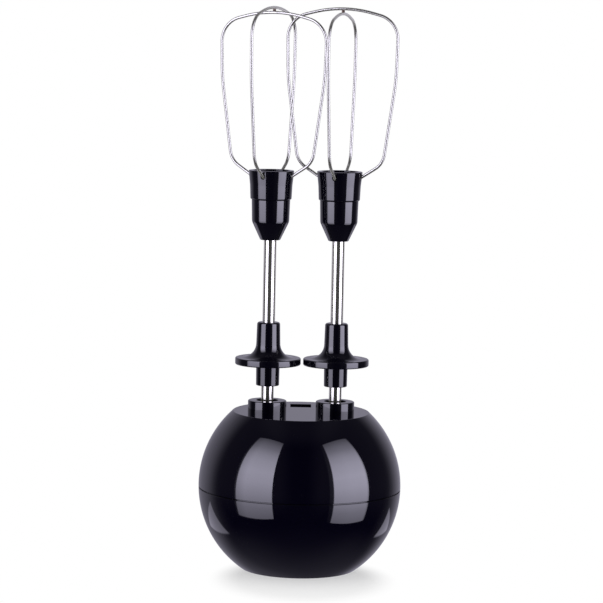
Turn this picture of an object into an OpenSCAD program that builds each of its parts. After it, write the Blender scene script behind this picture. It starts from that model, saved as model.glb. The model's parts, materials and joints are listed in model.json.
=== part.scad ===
// Twin-whisk mixer head: a ball gearbox that stands on its flat foot, with two wire whisks in its top.
// Millimetres. Origin on the table under the ball's middle, +X to the right whisk, -Y to the front, +Z up.

/* [Ball housing] */
// Outside diameter of the ball
ball_d = 100; // [96:0.5:112]
// Diameter of the flat foot that the ball stands on
foot_d = 56.6; // [54:0.2:62]
// Diameter of the flat deck on top of the ball
deck_d = 67.2; // [64:0.2:70]
// Wall of the two half shells
shell_wall = 2.2; // [1.8:0.1:2.8]
// Wall of the flat deck
deck_wall = 2.5; // [2.2:0.1:3.2]
// How far the parting line lies below the middle of the ball
seam_drop = 1; // [0:0.25:2.5]
// Depth of the fine groove along the parting line
seam_groove = 0.4; // [0.2:0.05:0.5]
// Height of the tongue that centres the two half shells
lap_h = 2; // [1.5:0.1:2.6]
// Thickness of the tongue
lap_t = 1; // [0.8:0.05:1.1]
// How far the tongue reaches down inside the lower shell
lap_seat = 3; // [2:0.25:4]
// Play between the tongue and the upper shell
lap_gap = 0.1; // [0.06:0.02:0.2]

/* [Deck recess] */
// Width of the recess behind the collars
recess_w = 10.4; // [8:0.2:12]
// Length of the recess, front to back
recess_l = 11; // [6:0.5:12]
// Depth of the recess
recess_depth = 1.2; // [0.6:0.1:1.4]
// Distance of the recess's middle behind the ball's middle
recess_back = 19; // [18:0.5:21]

/* [Handle socket] */
// Width of the foot's rim round the socket
foot_rim = 4.3; // [3.8:0.1:5]
// Depth of the socket
socket_depth = 14; // [12:0.5:16]
// Wall round the socket
socket_wall = 2.2; // [1.8:0.1:3]
// Thickness of the socket's roof
roof_t = 3.5; // [3:0.25:4.5]
// Height of the two latch recesses above the foot
latch_z = 5; // [4:0.5:6]
// Height of each latch recess
latch_h = 4; // [3:0.5:5]
// Depth of each latch recess
latch_depth = 1.2; // [0.8:0.1:1.4]
// Angle that each latch recess spans
latch_span = 30; // [20:1:36]
// Wall of the tunnel round the drive coupling
tunnel_wall = 1.8; // [1.5:0.1:2.2]
// Gap between the drive coupling and its tunnel
tunnel_gap = 1.2; // [1:0.1:1.4]

/* [Collars] */
// Distance between the two whisk axes
whisk_pitch = 33.5; // [33.2:0.1:35]
// Outside diameter of a collar
collar_d = 19; // [18:0.2:20]
// Height of a collar above the deck
collar_h = 5.3; // [4.5:0.1:6.5]
// Gap between a spindle and its collar's mouth
collar_gap = 0.35; // [0.25:0.05:0.6]
// Thickness of the lip at a collar's mouth
lip_h = 4.2; // [3.4:0.2:4.8]
// Length of a bearing boss below the deck
boss_l = 8; // [7:0.5:9]
// Chamfer at a collar's rim
collar_chamfer = 0.5; // [0.2:0.1:0.8]

/* [Gears] */
// Teeth of each output gear
output_teeth = 28; // [26:1:30]
// Teeth of the idler's pinion
idler_pinion_teeth = 12; // [12:1:13]
// Teeth of the idler's wheel
idler_wheel_teeth = 42; // [38:1:44]
// Teeth of the input pinion
input_teeth = 12; // [12:1:13]
// Pressure angle of all teeth
pressure_angle = 25; // [24:0.5:26]
// Play between meshing flanks
gear_backlash = 0.15; // [0.12:0.01:0.2]
// Face width of the output gears
output_face = 8; // [6:0.5:9]
// Face width of the idler's wheel
wheel_face = 7; // [5:0.5:7.5]
// Depth of the recess in each face of an output gear
web_recess = 1.5; // [1:0.1:2]
// Rim and hub left beside that recess
web_rim = 3; // [2.6:0.1:3.4]
// Axial gap between the wheel's level and the plates
level_gap = 1.5; // [1.3:0.1:1.8]
// Share of the ball's diameter by which the idler's axle lies left of the middle
idler_share = 0.08; // [0.07:0.0025:0.09]

/* [Output spindles] */
// Outside diameter of an output spindle
spindle_d = 10; // [9.6:0.1:10.2]
// Outside diameter of the spindle's bushes and seal
bush_d = 13; // [12.4:0.1:13.6]
// Flange height of a lower bush
bush_flange_h = 1; // [0.8:0.1:1.3]
// Width of a lower bush's flange
bush_flange_w = 1.5; // [1.2:0.1:2]
// Height of a shaft seal
seal_h = 1.9; // [1.5:0.1:2.2]
// How far a spindle stands up inside its collar
spindle_rise = 1.2; // [0.6:0.1:2]
// Height of the grip ring above the spindle's square drive
grip_height = 6; // [4:0.5:8]
// Wire of the grip ring
grip_wire = 0.7; // [0.6:0.05:0.75]
// Angle that the grip ring spans
grip_span = 320; // [300:5:335]
// Play of the grip ring in its groove
grip_play = 0.15; // [0.1:0.01:0.2]
// Thickness of the clips on the spindles and the input shaft
clip_t = 1; // [0.8:0.1:1.2]
// Depth of a clip's groove in its shaft
clip_depth = 0.5; // [0.4:0.05:0.6]
// Width of a clip outside its shaft
clip_w = 1.9; // [1.6:0.1:2.2]
// Gap between a spindle's clip and the bearing boss above it
clip_gap = 1.5; // [1.2:0.1:1.8]

/* [Input drive] */
// Outside diameter of the drive coupling
coupling_d = 16; // [15:0.25:17]
// How far the coupling's mouth lies above the socket's end
coupling_set = 0.6; // [0.4:0.1:1]
// Gap between the coupling and the clip above it
coupling_gap = 0.6; // [0.4:0.1:1]
// Share of the coupling's length that its splined mouth takes
mouth_share = 0.45; // [0.4:0.01:0.55]
// Splines of the coupling
coupling_splines = 6; // [5:1:8]
// Wall left round the coupling's mouth
coupling_wall = 2.8; // [2.6:0.1:3.4]
// Radius of each spline's groove
spline_groove = 1.2; // [1:0.1:1.4]
// Diameter of the input shaft
input_d = 6; // [5.5:0.1:6.4]
// Outside diameter of the input bushes
input_bush_d = 10; // [9.4:0.1:10.6]
// Wall round the lower input bush
hub_wall = 2; // [1.7:0.1:2.4]
// Diameter of the idler's axle
axle_d = 4; // [3.6:0.1:4.4]
// Wall round each end of the axle
axle_wall = 2.25; // [2:0.05:2.6]
// Length of the axle inside its upper boss
axle_seat = 5; // [4:0.25:6]
// Height of the axle's lower boss below the gear plate
axle_foot = 2; // [1.6:0.1:2.4]
// Floor of that boss
axle_floor = 1; // [0.8:0.1:1.2]
// Gap between the idler and its upper boss
axle_gap = 1; // [0.8:0.1:1.3]
// Thickness of the idler's washers
washer_t = 0.5; // [0.4:0.05:0.6]
// Width of all washers
washer_w = 1.8; // [1.5:0.1:2]

/* [Plates and screws] */
// Gap between the gear plate's edge and the shells
plate_gap = 3.3; // [2.8:0.1:4.8]
// Thickness of the gear plate
plate_t = 3; // [2.6:0.1:3.6]
// Length of the gear plate's hub below the plate
plate_hub_l = 5; // [4:0.5:6]
// Thickness of the bridge plate
bridge_t = 2.5; // [2:0.1:3]
// Diameter of the screws
screw_d = 3; // [2.6:0.1:3.2]
// Diameter of the screw heads
head_d = 5.6; // [5.2:0.1:6]
// Height of the screw heads
head_h = 1.8; // [1.6:0.1:2]
// Outside diameter of a screw boss
screw_boss_d = 7; // [6.6:0.1:7.4]
// Size of the hexagon in a screw's head
hex_d = 2.4; // [2:0.1:2.8]
// Depth of that hexagon
hex_depth = 1; // [0.8:0.1:1.2]
// Play of a screw's shank in a through hole, in diameter
screw_play = 0.4; // [0.3:0.05:0.5]
// Play of a screw's head in its well, in diameter
head_play = 0.6; // [0.4:0.1:0.8]
// Wall of a head's well
well_wall = 0.9; // [0.8:0.1:1.2]
// Depth of the holes that take the gear plate's screws
plate_hole_l = 10; // [8:0.5:11]
// Length of thread that the other screws bite into
screw_bite = 7; // [6:0.5:8]
// Space left below a screw's tip
tip_space = 1; // [0.5:0.1:1.2]
// How much further out than the whisks' pitch the gear plate's screws lie
screw_clear = 3; // [2.5:0.1:3.5]
// Share of the socket's radius at which the lower shell's screws lie
base_share = 0.75; // [0.73:0.005:0.77]
// Radius of the circle of bridge pillars
pillar_r = 30; // [29.5:0.25:30.5]
// Width of the bridge's rings round the bushes
bridge_ring = 3; // [2.5:0.1:3.5]
// Gap between the idler's hub and the bridge
hub_clear = 1; // [0.8:0.1:1.3]
// Margin of the bridge's pads round the pillars
pad_margin = 0.5; // [0.3:0.1:0.8]

/* [Whisk stem] */
// Diameter of a whisk's shaft
shaft_d = 6.2; // [6:0.1:6.3]
// Share of the shaft's diameter across the flats of its square tail
tail_share = 0.66; // [0.6:0.01:0.68]
// Height at which a shaft's square tail starts, below the deck
tail_drop = 16.2; // [15:0.2:18]
// Length of the square tail
tail_l = 6; // [5:0.5:7]
// Gap between the collar and the flange hub's sleeve
sleeve_gap = 7.4; // [6:0.1:9]
// Length of the flange hub
hub_l = 31.4; // [30:0.1:34]
// Height of the flange's underside above the sleeve's end
flange_rise = 10.4; // [9:0.2:12]
// Gap between the two whisks' flanges
flange_gap = 1.1; // [0.9:0.1:3]
// Thickness of the flange
flange_t = 3.4; // [2.6:0.1:4]
// Rounding of the flange's edge
flange_edge = 0.6; // [0.3:0.1:1]
// Radius of the wide fillet between the neck and the flange
flange_fillet = 7; // [4:0.25:8]
// Diameter of the hub's sleeve
sleeve_d = 11.6; // [10.8:0.1:12.2]
// How much wider the sleeve grows towards the flange, in radius
sleeve_draft = 0.1; // [0.05:0.05:0.2]
// Rounding of the sleeve's lower end
sleeve_round = 0.4; // [0.2:0.1:0.8]
// How much wider the neck above the flange is than the sleeve, in radius
neck_swell = 0.3; // [0.1:0.1:0.6]
// How much narrower the neck grows towards its top, in radius
neck_draft = 0.45; // [0.2:0.05:0.8]
// Rounding of the neck's top
neck_round = 1.1; // [0.6:0.1:1.6]
// Length of bare shaft between the flange hub and the cup
bare_l = 40.6; // [36:0.2:46]

/* [Whisk cup] */
// Height of the cup's lower body
cup_l = 19.9; // [18.5:0.1:22]
// Length of the cup's cone
cone_l = 9; // [7.5:0.1:10]
// Diameter of the cup's lower body
cup_d = 18.9; // [18.4:0.1:19.4]
// Diameter at the cup's lower end
cup_foot_d = 9.8; // [9.2:0.1:10.6]
// Rounding of the cup's lower end
foot_round = 0.5; // [0.2:0.1:0.8]
// How much wider the body grows between the cone and the ring, in radius
cup_draft = 0.3; // [0.1:0.05:0.5]
// Rounding between the cone and the body
shoulder_round = 4; // [2:0.25:6]
// Rounding of the body's top edge
cup_round = 0.3; // [0.1:0.1:0.4]
// Height of the cup's ring
ring_l = 14.3; // [13:0.1:16]
// Diameter at the ring's rim
rim_d = 22.6; // [22.2:0.1:23]
// Step from the body out to the ring, in radius
ring_step = 0.65; // [0.5:0.05:0.8]
// Rounding of the ring's lower edge
ring_round = 0.8; // [0.5:0.1:1]
// How far the ring's waist stands out from the body, in radius
ring_waist = 0.95; // [0.8:0.05:1.2]
// Share of the ring's height below its waist
waist_share = 0.5; // [0.4:0.01:0.6]
// Rounding of the rim's outer edge
rim_round = 0.4; // [0.2:0.1:0.6]
// Wall at the ring's mouth
ring_wall = 2.4; // [2:0.1:2.8]
// Depth of the plug's foot inside the cup
plug_foot = 6.5; // [5.5:0.25:7.5]
// Step from the plug's foot out to its head, in radius
plug_step = 1; // [0.8:0.1:1.3]
// How far the plug's top lies below the rim
plug_drop = 1.2; // [0.8:0.1:1.6]
// How far the shaft's top lies below the rim
shaft_drop = 9; // [8.4:0.1:10]

/* [Whisk wires] */
// Diameter of the wire
wire_d = 1.5; // [1.3:0.05:1.7]
// Gap between a loop's shoulder and the other whisk's axis
loop_gap = 5.7; // [5.2:0.1:7]
// Height of the inner loop's tip above the cup's rim
loop_l = 78.1; // [70:0.1:84]
// Gap between a whisk's two loops where they cross at the tip
cross_gap = 0.9; // [0.6:0.1:1.2]
// How far a wire's end lies from the whisk's axis
wire_end_r = 5.5; // [5.2:0.1:6]
// Play of a wire in its hole through the ring
hole_play = 0.2; // [0.1:0.05:0.3]
// How far below the rim a wire enters the ring
hole_drop = 2.3; // [2:0.1:2.8]
// How far a loop's knee lies inside its shoulder
knee_in = 6.3; // [5.5:0.1:7.5]
// How far a loop's knee lies above the rim
knee_rise = 4.3; // [3.5:0.1:5.5]
// Radius of the bend at the knee
knee_bend = 10; // [7:0.5:11]
// Share of the loop's height at which its side bends
side_share = 0.58; // [0.5:0.01:0.65]
// How far the side lies inside the shoulder at that height
side_in = 0.6; // [0.3:0.1:1]
// Radius of the bend in the side
side_bend = 120; // [80:5:160]
// How far the shoulder's corner lies below the tip
shoulder_drop = 6.4; // [5.5:0.1:7.5]
// Radius of the bend at the shoulder
shoulder_bend = 12; // [8:0.5:13]
// How far the crown's corner lies above the tip
crown_rise = 0.75; // [0.5:0.05:1.2]
// Radius of the bend at the crown
crown_bend = 60; // [40:2:80]
// Turn of the left whisk at rest, from the front
left_turn = -22.5; // [-23:0.25:-20]
// Turn of the right whisk at rest, from the front
right_turn = -15; // [-20:0.25:-14.5]

/* [Fits] */
// Radial clearance of every running fit
run_fit = 0.05; // [0.03:0.01:0.08]
// Radial clearance of every seated fit
seat_fit = 0.02; // [0.01:0.01:0.04]
// Gap between faces that run past each other
face_gap = 0.2; // [0.15:0.05:0.3]

/* [Hidden] */
$fn = 96;
eps = 0.01;

black = [0.03, 0.03, 0.035];
steel = [0.75, 0.76, 0.78];
brass = [0.72, 0.58, 0.3];
nylon = [0.86, 0.85, 0.8];

// Ball
ball_r = ball_d / 2;
inner_r = ball_r - shell_wall;
ball_z = sqrt(pow(ball_r, 2) - pow(foot_d / 2, 2));
deck_z = ball_z + sqrt(pow(ball_r, 2) - pow(deck_d / 2, 2));
deck_under = deck_z - deck_wall;
seam_z = ball_z - seam_drop;
socket_d = foot_d - 2 * foot_rim;
plate_r = inner_r - plate_gap;
collar_top = deck_z + collar_h;
collar_bore = spindle_d + 2 * collar_gap;
lap_r = ball_r - shell_wall / 2;

// Levels inside, from the collars down
boss_z = deck_under - boss_l;
pocket_top = collar_top - lip_h;
seal_z = pocket_top - seal_h;
spindle_top = pocket_top + spindle_rise;
output_top = boss_z - clip_gap - clip_t;
output_z = output_top - output_face;
bridge_top = output_z - face_gap - bush_flange_h;
bridge_z = bridge_top - bridge_t;
wheel_top = bridge_z - level_gap;
wheel_z = wheel_top - wheel_face;
plate_top = wheel_z - level_gap;
plate_z = plate_top - plate_t;

// Gear train
output_module = whisk_pitch / output_teeth;
idler_left = ball_d * idler_share;
idler_reach = output_module * (output_teeth + idler_pinion_teeth) / 2;
idler_back = sqrt(pow(idler_reach, 2) - pow(whisk_pitch / 2 - idler_left, 2));
input_reach = norm([idler_left, idler_back]);
input_module = 2 * input_reach / (input_teeth + idler_wheel_teeth);
addendum = 0.9;
dedendum = 1.15;
hub_under_root = 0.4;
idler_hub_r = (idler_pinion_teeth / 2 - dedendum) * output_module - hub_under_root;
idler_bearing = atan2(idler_back, -idler_left);
output_bearing = atan2(idler_back, whisk_pitch / 2 - idler_left);
// Turn of each gear's first tooth, so that every pair is in mesh
left_gear_turn = 90 / output_teeth;
right_gear_turn = mesh_turn(0, left_gear_turn, output_teeth, output_teeth);
idler_pinion_turn = mesh_turn(output_bearing, left_gear_turn, output_teeth, idler_pinion_teeth);
idler_wheel_turn = 0;
input_turn = mesh_turn(idler_bearing + 180, idler_wheel_turn, idler_wheel_teeth, input_teeth);

// Input drive
input_top = bridge_top + face_gap;
hub_z = plate_z - plate_hub_l;
hub_r = input_bush_d / 2 + hub_wall;
input_clip_z = hub_z - face_gap - clip_t;
coupling_z = socket_depth + coupling_set;
coupling_l = input_clip_z - coupling_gap - coupling_z;
coupling_mouth = mouth_share * coupling_l;
input_z = coupling_z + coupling_mouth;
tunnel_r = coupling_d / 2 + tunnel_gap;
tunnel_top = coupling_z + coupling_l - coupling_gap;
axle_z = plate_z - axle_foot;
axle_top = output_top + axle_gap + axle_seat;

// Screws
plate_screw_angles = [35, 153, 215, 325];
base_screw_angles = [30, 150, 270];
pillar_angles = [55, 232, 308];
latch_angles = [90, 270];
plate_screw_r = whisk_pitch + screw_clear;
base_screw_r = socket_d / 2 * base_share;
base_screw_l = plate_t + screw_bite;
bridge_screw_l = bridge_t + screw_bite;
tip_below = 0.5;
base_head_z = plate_top - tip_below - base_screw_l;

// Whisk
tail_af = shaft_d * tail_share;
tail_z = deck_z - tail_drop;
grip_z = tail_z + tail_l + grip_height;
hub_base = collar_top + sleeve_gap;
hub_top = hub_base + hub_l;
flange_d = whisk_pitch - flange_gap;
cup_z = hub_top + bare_l;
ring_z = cup_z + cup_l;
rim_z = ring_z + ring_l;
ring_in = rim_d / 2 - ring_wall;
plug_z = ring_z - plug_foot;
plug_top = rim_z - plug_drop;
shaft_top = rim_z - shaft_drop;
wire_r = wire_d / 2;
loop_r = whisk_pitch - loop_gap;
tip_z = rim_z + loop_l;
loop_step = wire_d + cross_gap;
// Middle of an inner loop's wire at its crown
crown_slope = atan((crown_rise + shoulder_drop) / loop_r);
crown_z = tip_z + crown_rise - crown_bend * (1 / cos(crown_slope) - 1);
wire_sides = 12;
bend_step = 9;
round_steps = 5;

function unit(v) = v / norm(v);
function heading(v) = atan2(v[1], v[0]);
// Angle wrapped to between -180 and 180
function wrapped(a) = (a + 540) % 360 - 180;
// Outline whose corners are [radius, height, rounding]
function outline(corners) = [for (i = [0 : len(corners) - 1]) each corner_points(corners, i)];
function corner_at(corners, i) =
    let (c = corners[(i + len(corners)) % len(corners)])
    [c[0], c[1]];
function corner_points(corners, i) =
    corners[i][2] == 0 ? [corner_at(corners, i)] :
    let (
        here = corner_at(corners, i),
        size = corners[i][2],
        before = unit(corner_at(corners, i - 1) - here),
        after = unit(corner_at(corners, i + 1) - here),
        half = acos(before * after) / 2,
        centre = here + unit(before + after) * size / sin(half),
        first = heading(here + before * size / tan(half) - centre),
        turn = wrapped(heading(here + after * size / tan(half) - centre) - first)
    )
    [for (k = [0 : round_steps])
        let (a = first + turn * k / round_steps)
        centre + size * [cos(a), sin(a)]];
function involute(a) = tan(a) - a * PI / 180;
// Turn of gear B's first tooth for a mesh with gear A, whose centre lies opposite the bearing
function mesh_turn(bearing, turn_a, teeth_a, teeth_b) =
    bearing + 180 + ((bearing - turn_a) * teeth_a / 360 + 0.5) * 360 / teeth_b;
// Half the angle of a tooth at radius r
function tooth_half(r, teeth, module_mm) =
    let (base = teeth * module_mm / 2 * cos(pressure_angle))
    90 / teeth - gear_backlash / 2 / (teeth * module_mm) * 180 / PI
    + (involute(pressure_angle) - involute(acos(min(1, base / r)))) * 180 / PI;

// Outline of a spur gear with involute flanks
module gear_outline(teeth, module_mm) {
    pitch_r = teeth * module_mm / 2;
    base_r = pitch_r * cos(pressure_angle);
    root_r = pitch_r - dedendum * module_mm;
    tip_r = pitch_r + addendum * module_mm;
    start_r = max(base_r, root_r);
    steps = 4;
    flank = [for (i = [0 : steps]) start_r + (tip_r - start_r) * i / steps];
    polygon([
        for (k = [0 : teeth - 1])
            let (a = 360 * k / teeth)
            each concat(
                [root_r * [cos(a - tooth_half(start_r, teeth, module_mm) - 1),
                           sin(a - tooth_half(start_r, teeth, module_mm) - 1)]],
                [for (r = flank) r * [cos(a - tooth_half(r, teeth, module_mm)),
                                      sin(a - tooth_half(r, teeth, module_mm))]],
                [for (i = [steps : -1 : 0])
                    flank[i] * [cos(a + tooth_half(flank[i], teeth, module_mm)),
                                sin(a + tooth_half(flank[i], teeth, module_mm))]],
                [root_r * [cos(a + tooth_half(start_r, teeth, module_mm) + 1),
                           sin(a + tooth_half(start_r, teeth, module_mm) + 1)]]
            )
    ]);
}

module gear(teeth, module_mm, face, turn) {
    rotate([0, 0, turn])
        linear_extrude(face)
            gear_outline(teeth, module_mm);
}

// Ring or tube between two radii
module tube(outer, inner, h) {
    difference() {
        cylinder(r = outer, h = h);
        translate([0, 0, -1])
            cylinder(r = inner, h = h + 2);
    }
}

// Open clip that snaps into a shaft's groove
module clip(outer, inner, h) {
    difference() {
        tube(outer, inner, h);
        translate([0, -inner * 0.6, -1])
            cube([outer + 1, inner * 1.2, h + 2]);
    }
}

module at_angles(radius, angles) {
    for (a = angles)
        rotate([0, 0, a])
            translate([radius, 0, 0])
                children();
}

module on_side(side) {
    translate([side * whisk_pitch / 2, 0, 0])
        children();
}

// Part of the ball's section between two heights, for a revolve
module ball_section(r, low, high) {
    intersection() {
        translate([0, ball_z])
            circle(r = r, $fn = 256);
        translate([0, low])
            square([ball_r + 1, high - low]);
    }
}

module upper_wall() {
    rotate_extrude($fn = 256)
        difference() {
            ball_section(ball_r, seam_z, deck_z);
            ball_section(inner_r, seam_z - 1, deck_under);
            translate([0, seam_z - 1])
                square([lap_r + lap_gap / 2, lap_h + lap_gap + 1]);
            translate([ball_r, seam_z])
                rotate(45)
                    square(seam_groove * sqrt(2), center = true);
        }
}

module collar_solid() {
    translate([0, 0, boss_z])
        cylinder(d = collar_d, h = collar_top - collar_chamfer - boss_z);
    translate([0, 0, collar_top - collar_chamfer])
        cylinder(d1 = collar_d, d2 = collar_d - 2 * collar_chamfer, h = collar_chamfer);
}

module collar_bores() {
    translate([0, 0, boss_z - 1])
        cylinder(d = bush_d, h = pocket_top - boss_z + 1);
    translate([0, 0, pocket_top - eps])
        cylinder(d = collar_bore, h = lip_h + 1);
}

module upper_bosses() {
    intersection() {
        union() {
            at_angles(plate_screw_r, plate_screw_angles)
                translate([0, 0, plate_top])
                    cylinder(d = screw_boss_d, h = deck_z);
            translate([-idler_left, idler_back, output_top + axle_gap])
                cylinder(r = axle_d / 2 + axle_wall, h = deck_under - output_top);
        }
        translate([0, 0, ball_z])
            sphere(r = (ball_r + inner_r) / 2, $fn = 256);
        cylinder(r = ball_r, h = deck_under + deck_wall / 2);
    }
}

module upper_shell() {
    color(black)
        difference() {
            union() {
                upper_wall();
                upper_bosses();
                for (side = [-1, 1])
                    on_side(side)
                        collar_solid();
            }
            for (side = [-1, 1])
                on_side(side)
                    collar_bores();
            at_angles(plate_screw_r, plate_screw_angles)
                translate([0, 0, plate_top - 1])
                    cylinder(d = screw_d + 2 * seat_fit, h = plate_hole_l + 1);
            translate([-idler_left, idler_back, output_top])
                cylinder(d = axle_d + 2 * seat_fit, h = axle_gap + axle_seat + tip_below);
            translate([-recess_w / 2, recess_back - recess_l / 2, deck_z - recess_depth])
                cube([recess_w, recess_l, recess_depth + 1]);
        }
}

module lower_wall() {
    socket_r = socket_d / 2;
    rotate_extrude($fn = 256)
        difference() {
            union() {
                difference() {
                    ball_section(ball_r, 0, seam_z);
                    ball_section(inner_r, shell_wall, seam_z + 1);
                }
                translate([socket_r, 0])
                    square([socket_wall, socket_depth + roof_t]);
                translate([tunnel_r, socket_depth])
                    square([socket_r + socket_wall - tunnel_r, roof_t]);
                translate([tunnel_r, socket_depth])
                    square([tunnel_wall, tunnel_top - socket_depth]);
                translate([lap_r - lap_gap / 2 - lap_t, seam_z - lap_seat])
                    square([lap_t, lap_seat + lap_h]);
            }
            translate([-1, -1])
                square([socket_r + 1, socket_depth + 1]);
            translate([ball_r, seam_z])
                rotate(45)
                    square(seam_groove * sqrt(2), center = true);
        }
}

module lower_shell() {
    color(black)
        difference() {
            union() {
                lower_wall();
                at_angles(base_screw_r, base_screw_angles)
                    translate([0, 0, socket_depth])
                        cylinder(d = head_d + head_play + 2 * well_wall, h = plate_z - socket_depth);
            }
            at_angles(base_screw_r, base_screw_angles) {
                translate([0, 0, socket_depth - 1])
                    cylinder(d = head_d + head_play, h = base_head_z - socket_depth + 1);
                cylinder(d = screw_d + screw_play, h = deck_z);
            }
            for (a = latch_angles)
                rotate([0, 0, a - latch_span / 2])
                    translate([0, 0, latch_z])
                        rotate_extrude(angle = latch_span)
                            translate([socket_d / 2 - 1, 0])
                                square([latch_depth + 1, latch_h]);
        }
}

module gear_plate() {
    color(nylon)
        difference() {
            union() {
                translate([0, 0, plate_z])
                    cylinder(r = plate_r, h = plate_t);
                translate([0, 0, hub_z])
                    cylinder(r = hub_r, h = plate_hub_l + eps);
                translate([-idler_left, idler_back, axle_z])
                    cylinder(r = axle_d / 2 + axle_wall, h = axle_foot + eps);
                at_angles(pillar_r, pillar_angles)
                    translate([0, 0, plate_top - eps])
                        cylinder(d = screw_boss_d, h = bridge_z - plate_top + eps);
            }
            translate([0, 0, hub_z - 1])
                cylinder(d = input_bush_d + 2 * seat_fit, h = plate_hub_l + plate_t + 2);
            translate([-idler_left, idler_back, axle_z + axle_floor])
                cylinder(d = axle_d + 2 * seat_fit, h = plate_top - axle_z);
            at_angles(pillar_r, pillar_angles)
                translate([0, 0, bridge_top - bridge_screw_l - tip_space])
                    cylinder(d = screw_d + 2 * seat_fit, h = bridge_screw_l + 2);
            at_angles(plate_screw_r, plate_screw_angles)
                translate([0, 0, plate_z - 1])
                    cylinder(d = screw_d + screw_play, h = plate_t + 2);
            at_angles(base_screw_r, base_screw_angles)
                translate([0, 0, plate_z - 1])
                    cylinder(d = screw_d + 2 * seat_fit, h = plate_t + 2);
        }
}

// Stamped plate that carries the lower ends of the spindles and the top of the input shaft
module bridge_plate() {
    arm_w = screw_boss_d;
    color(steel)
        translate([0, 0, bridge_z])
            difference() {
                linear_extrude(bridge_t)
                    union() {
                        for (side = [-1, 1])
                            translate([side * whisk_pitch / 2, 0])
                                circle(r = bush_d / 2 + bridge_ring);
                        square([whisk_pitch, bush_d], center = true);
                        translate([-idler_left, idler_back])
                            circle(r = idler_hub_r + hub_clear + bridge_ring);
                        rotate(idler_bearing)
                            translate([0, -arm_w])
                                square([input_reach, 2 * arm_w]);
                        for (a = pillar_angles)
                            rotate(a) {
                                translate([0, -arm_w / 2])
                                    square([pillar_r, arm_w]);
                                translate([pillar_r, 0])
                                    circle(r = screw_boss_d / 2 + pad_margin);
                            }
                    }
                for (side = [-1, 1])
                    on_side(side)
                        translate([0, 0, -1])
                            cylinder(d = bush_d + 2 * seat_fit, h = bridge_t + 2);
                translate([0, 0, -1])
                    cylinder(d = input_bush_d + 2 * seat_fit, h = bridge_t + 2);
                translate([-idler_left, idler_back, -1])
                    cylinder(r = idler_hub_r + hub_clear, h = bridge_t + 2);
                at_angles(pillar_r, pillar_angles)
                    translate([0, 0, -1])
                        cylinder(d = screw_d + screw_play, h = bridge_t + 2);
            }
}

// Pan-head screw with its head's seat at z = 0 and its shank towards +Z
module screw(l) {
    difference() {
        translate([0, 0, -head_h])
            cylinder(d = head_d, h = head_h);
        translate([0, 0, -head_h - hex_depth])
            cylinder(d = hex_d, h = 2 * hex_depth, $fn = 6);
    }
    cylinder(d = screw_d, h = l);
}

module plate_screws() {
    color(steel)
        at_angles(plate_screw_r, plate_screw_angles)
            translate([0, 0, plate_z])
                screw(plate_t + plate_hole_l - tip_space);
}

module base_screws() {
    color(steel)
        at_angles(base_screw_r, base_screw_angles)
            translate([0, 0, base_head_z])
                screw(base_screw_l);
}

module bridge_screws() {
    color(steel)
        at_angles(pillar_r, pillar_angles)
            translate([0, 0, bridge_top])
                mirror([0, 0, 1])
                    screw(bridge_screw_l);
}

module drive_coupling() {
    spline_r = coupling_d / 2 - coupling_wall;
    color(nylon)
        translate([0, 0, coupling_z])
            difference() {
                cylinder(d = coupling_d, h = coupling_l);
                translate([0, 0, -1]) {
                    cylinder(r = spline_r, h = coupling_mouth + 1);
                    for (k = [1 : coupling_splines])
                        rotate([0, 0, 360 * (k - 0.5) / coupling_splines])
                            translate([spline_r, 0, 0])
                                cylinder(r = spline_groove, h = coupling_mouth + 1);
                    cylinder(d = input_d + 2 * seat_fit, h = coupling_l + 2);
                }
            }
}

module input_shaft() {
    color(steel)
        difference() {
            translate([0, 0, input_z])
                cylinder(d = input_d, h = input_top - input_z);
            translate([0, 0, input_clip_z])
                tube(input_d, input_d / 2 - clip_depth, clip_t);
        }
}

module input_pinion() {
    color(nylon)
        translate([0, 0, wheel_z])
            difference() {
                gear(input_teeth, input_module, wheel_face, input_turn);
                translate([0, 0, -1])
                    cylinder(d = input_d + 2 * seat_fit, h = wheel_face + 2);
            }
}

module input_clip() {
    color(steel)
        translate([0, 0, input_clip_z])
            clip(input_d / 2 + clip_w, input_d / 2 - clip_depth + seat_fit, clip_t);
}

module input_bush_lower() {
    color(brass)
        translate([0, 0, hub_z])
            tube(input_bush_d / 2, input_d / 2 + run_fit, plate_hub_l + plate_t);
}

module input_bush_upper() {
    color(brass)
        translate([0, 0, bridge_z])
            tube(input_bush_d / 2, input_d / 2 + run_fit, bridge_t);
}

module input_washer() {
    color(steel)
        translate([0, 0, plate_top])
            tube(input_d / 2 + washer_w, input_d / 2 + run_fit, level_gap - face_gap);
}

module idler_axle() {
    color(steel)
        translate([-idler_left, idler_back, axle_z + axle_floor])
            cylinder(d = axle_d, h = axle_top - axle_z - axle_floor);
}

module idler_gear() {
    hub_low = plate_top + washer_t + face_gap;
    color(nylon)
        translate([-idler_left, idler_back, 0])
            difference() {
                union() {
                    translate([0, 0, wheel_z])
                        gear(idler_wheel_teeth, input_module, wheel_face, idler_wheel_turn);
                    translate([0, 0, hub_low])
                        cylinder(r = idler_hub_r, h = output_z - hub_low + eps);
                    translate([0, 0, output_z])
                        gear(idler_pinion_teeth, output_module, output_face, idler_pinion_turn);
                }
                cylinder(d = axle_d + 2 * run_fit, h = deck_z);
            }
}

module idler_washers() {
    color(steel)
        translate([-idler_left, idler_back, 0])
            for (z = [plate_top, output_top + axle_gap - washer_t])
                translate([0, 0, z])
                    tube(axle_d / 2 + washer_w, axle_d / 2 + run_fit, washer_t);
}

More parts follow.
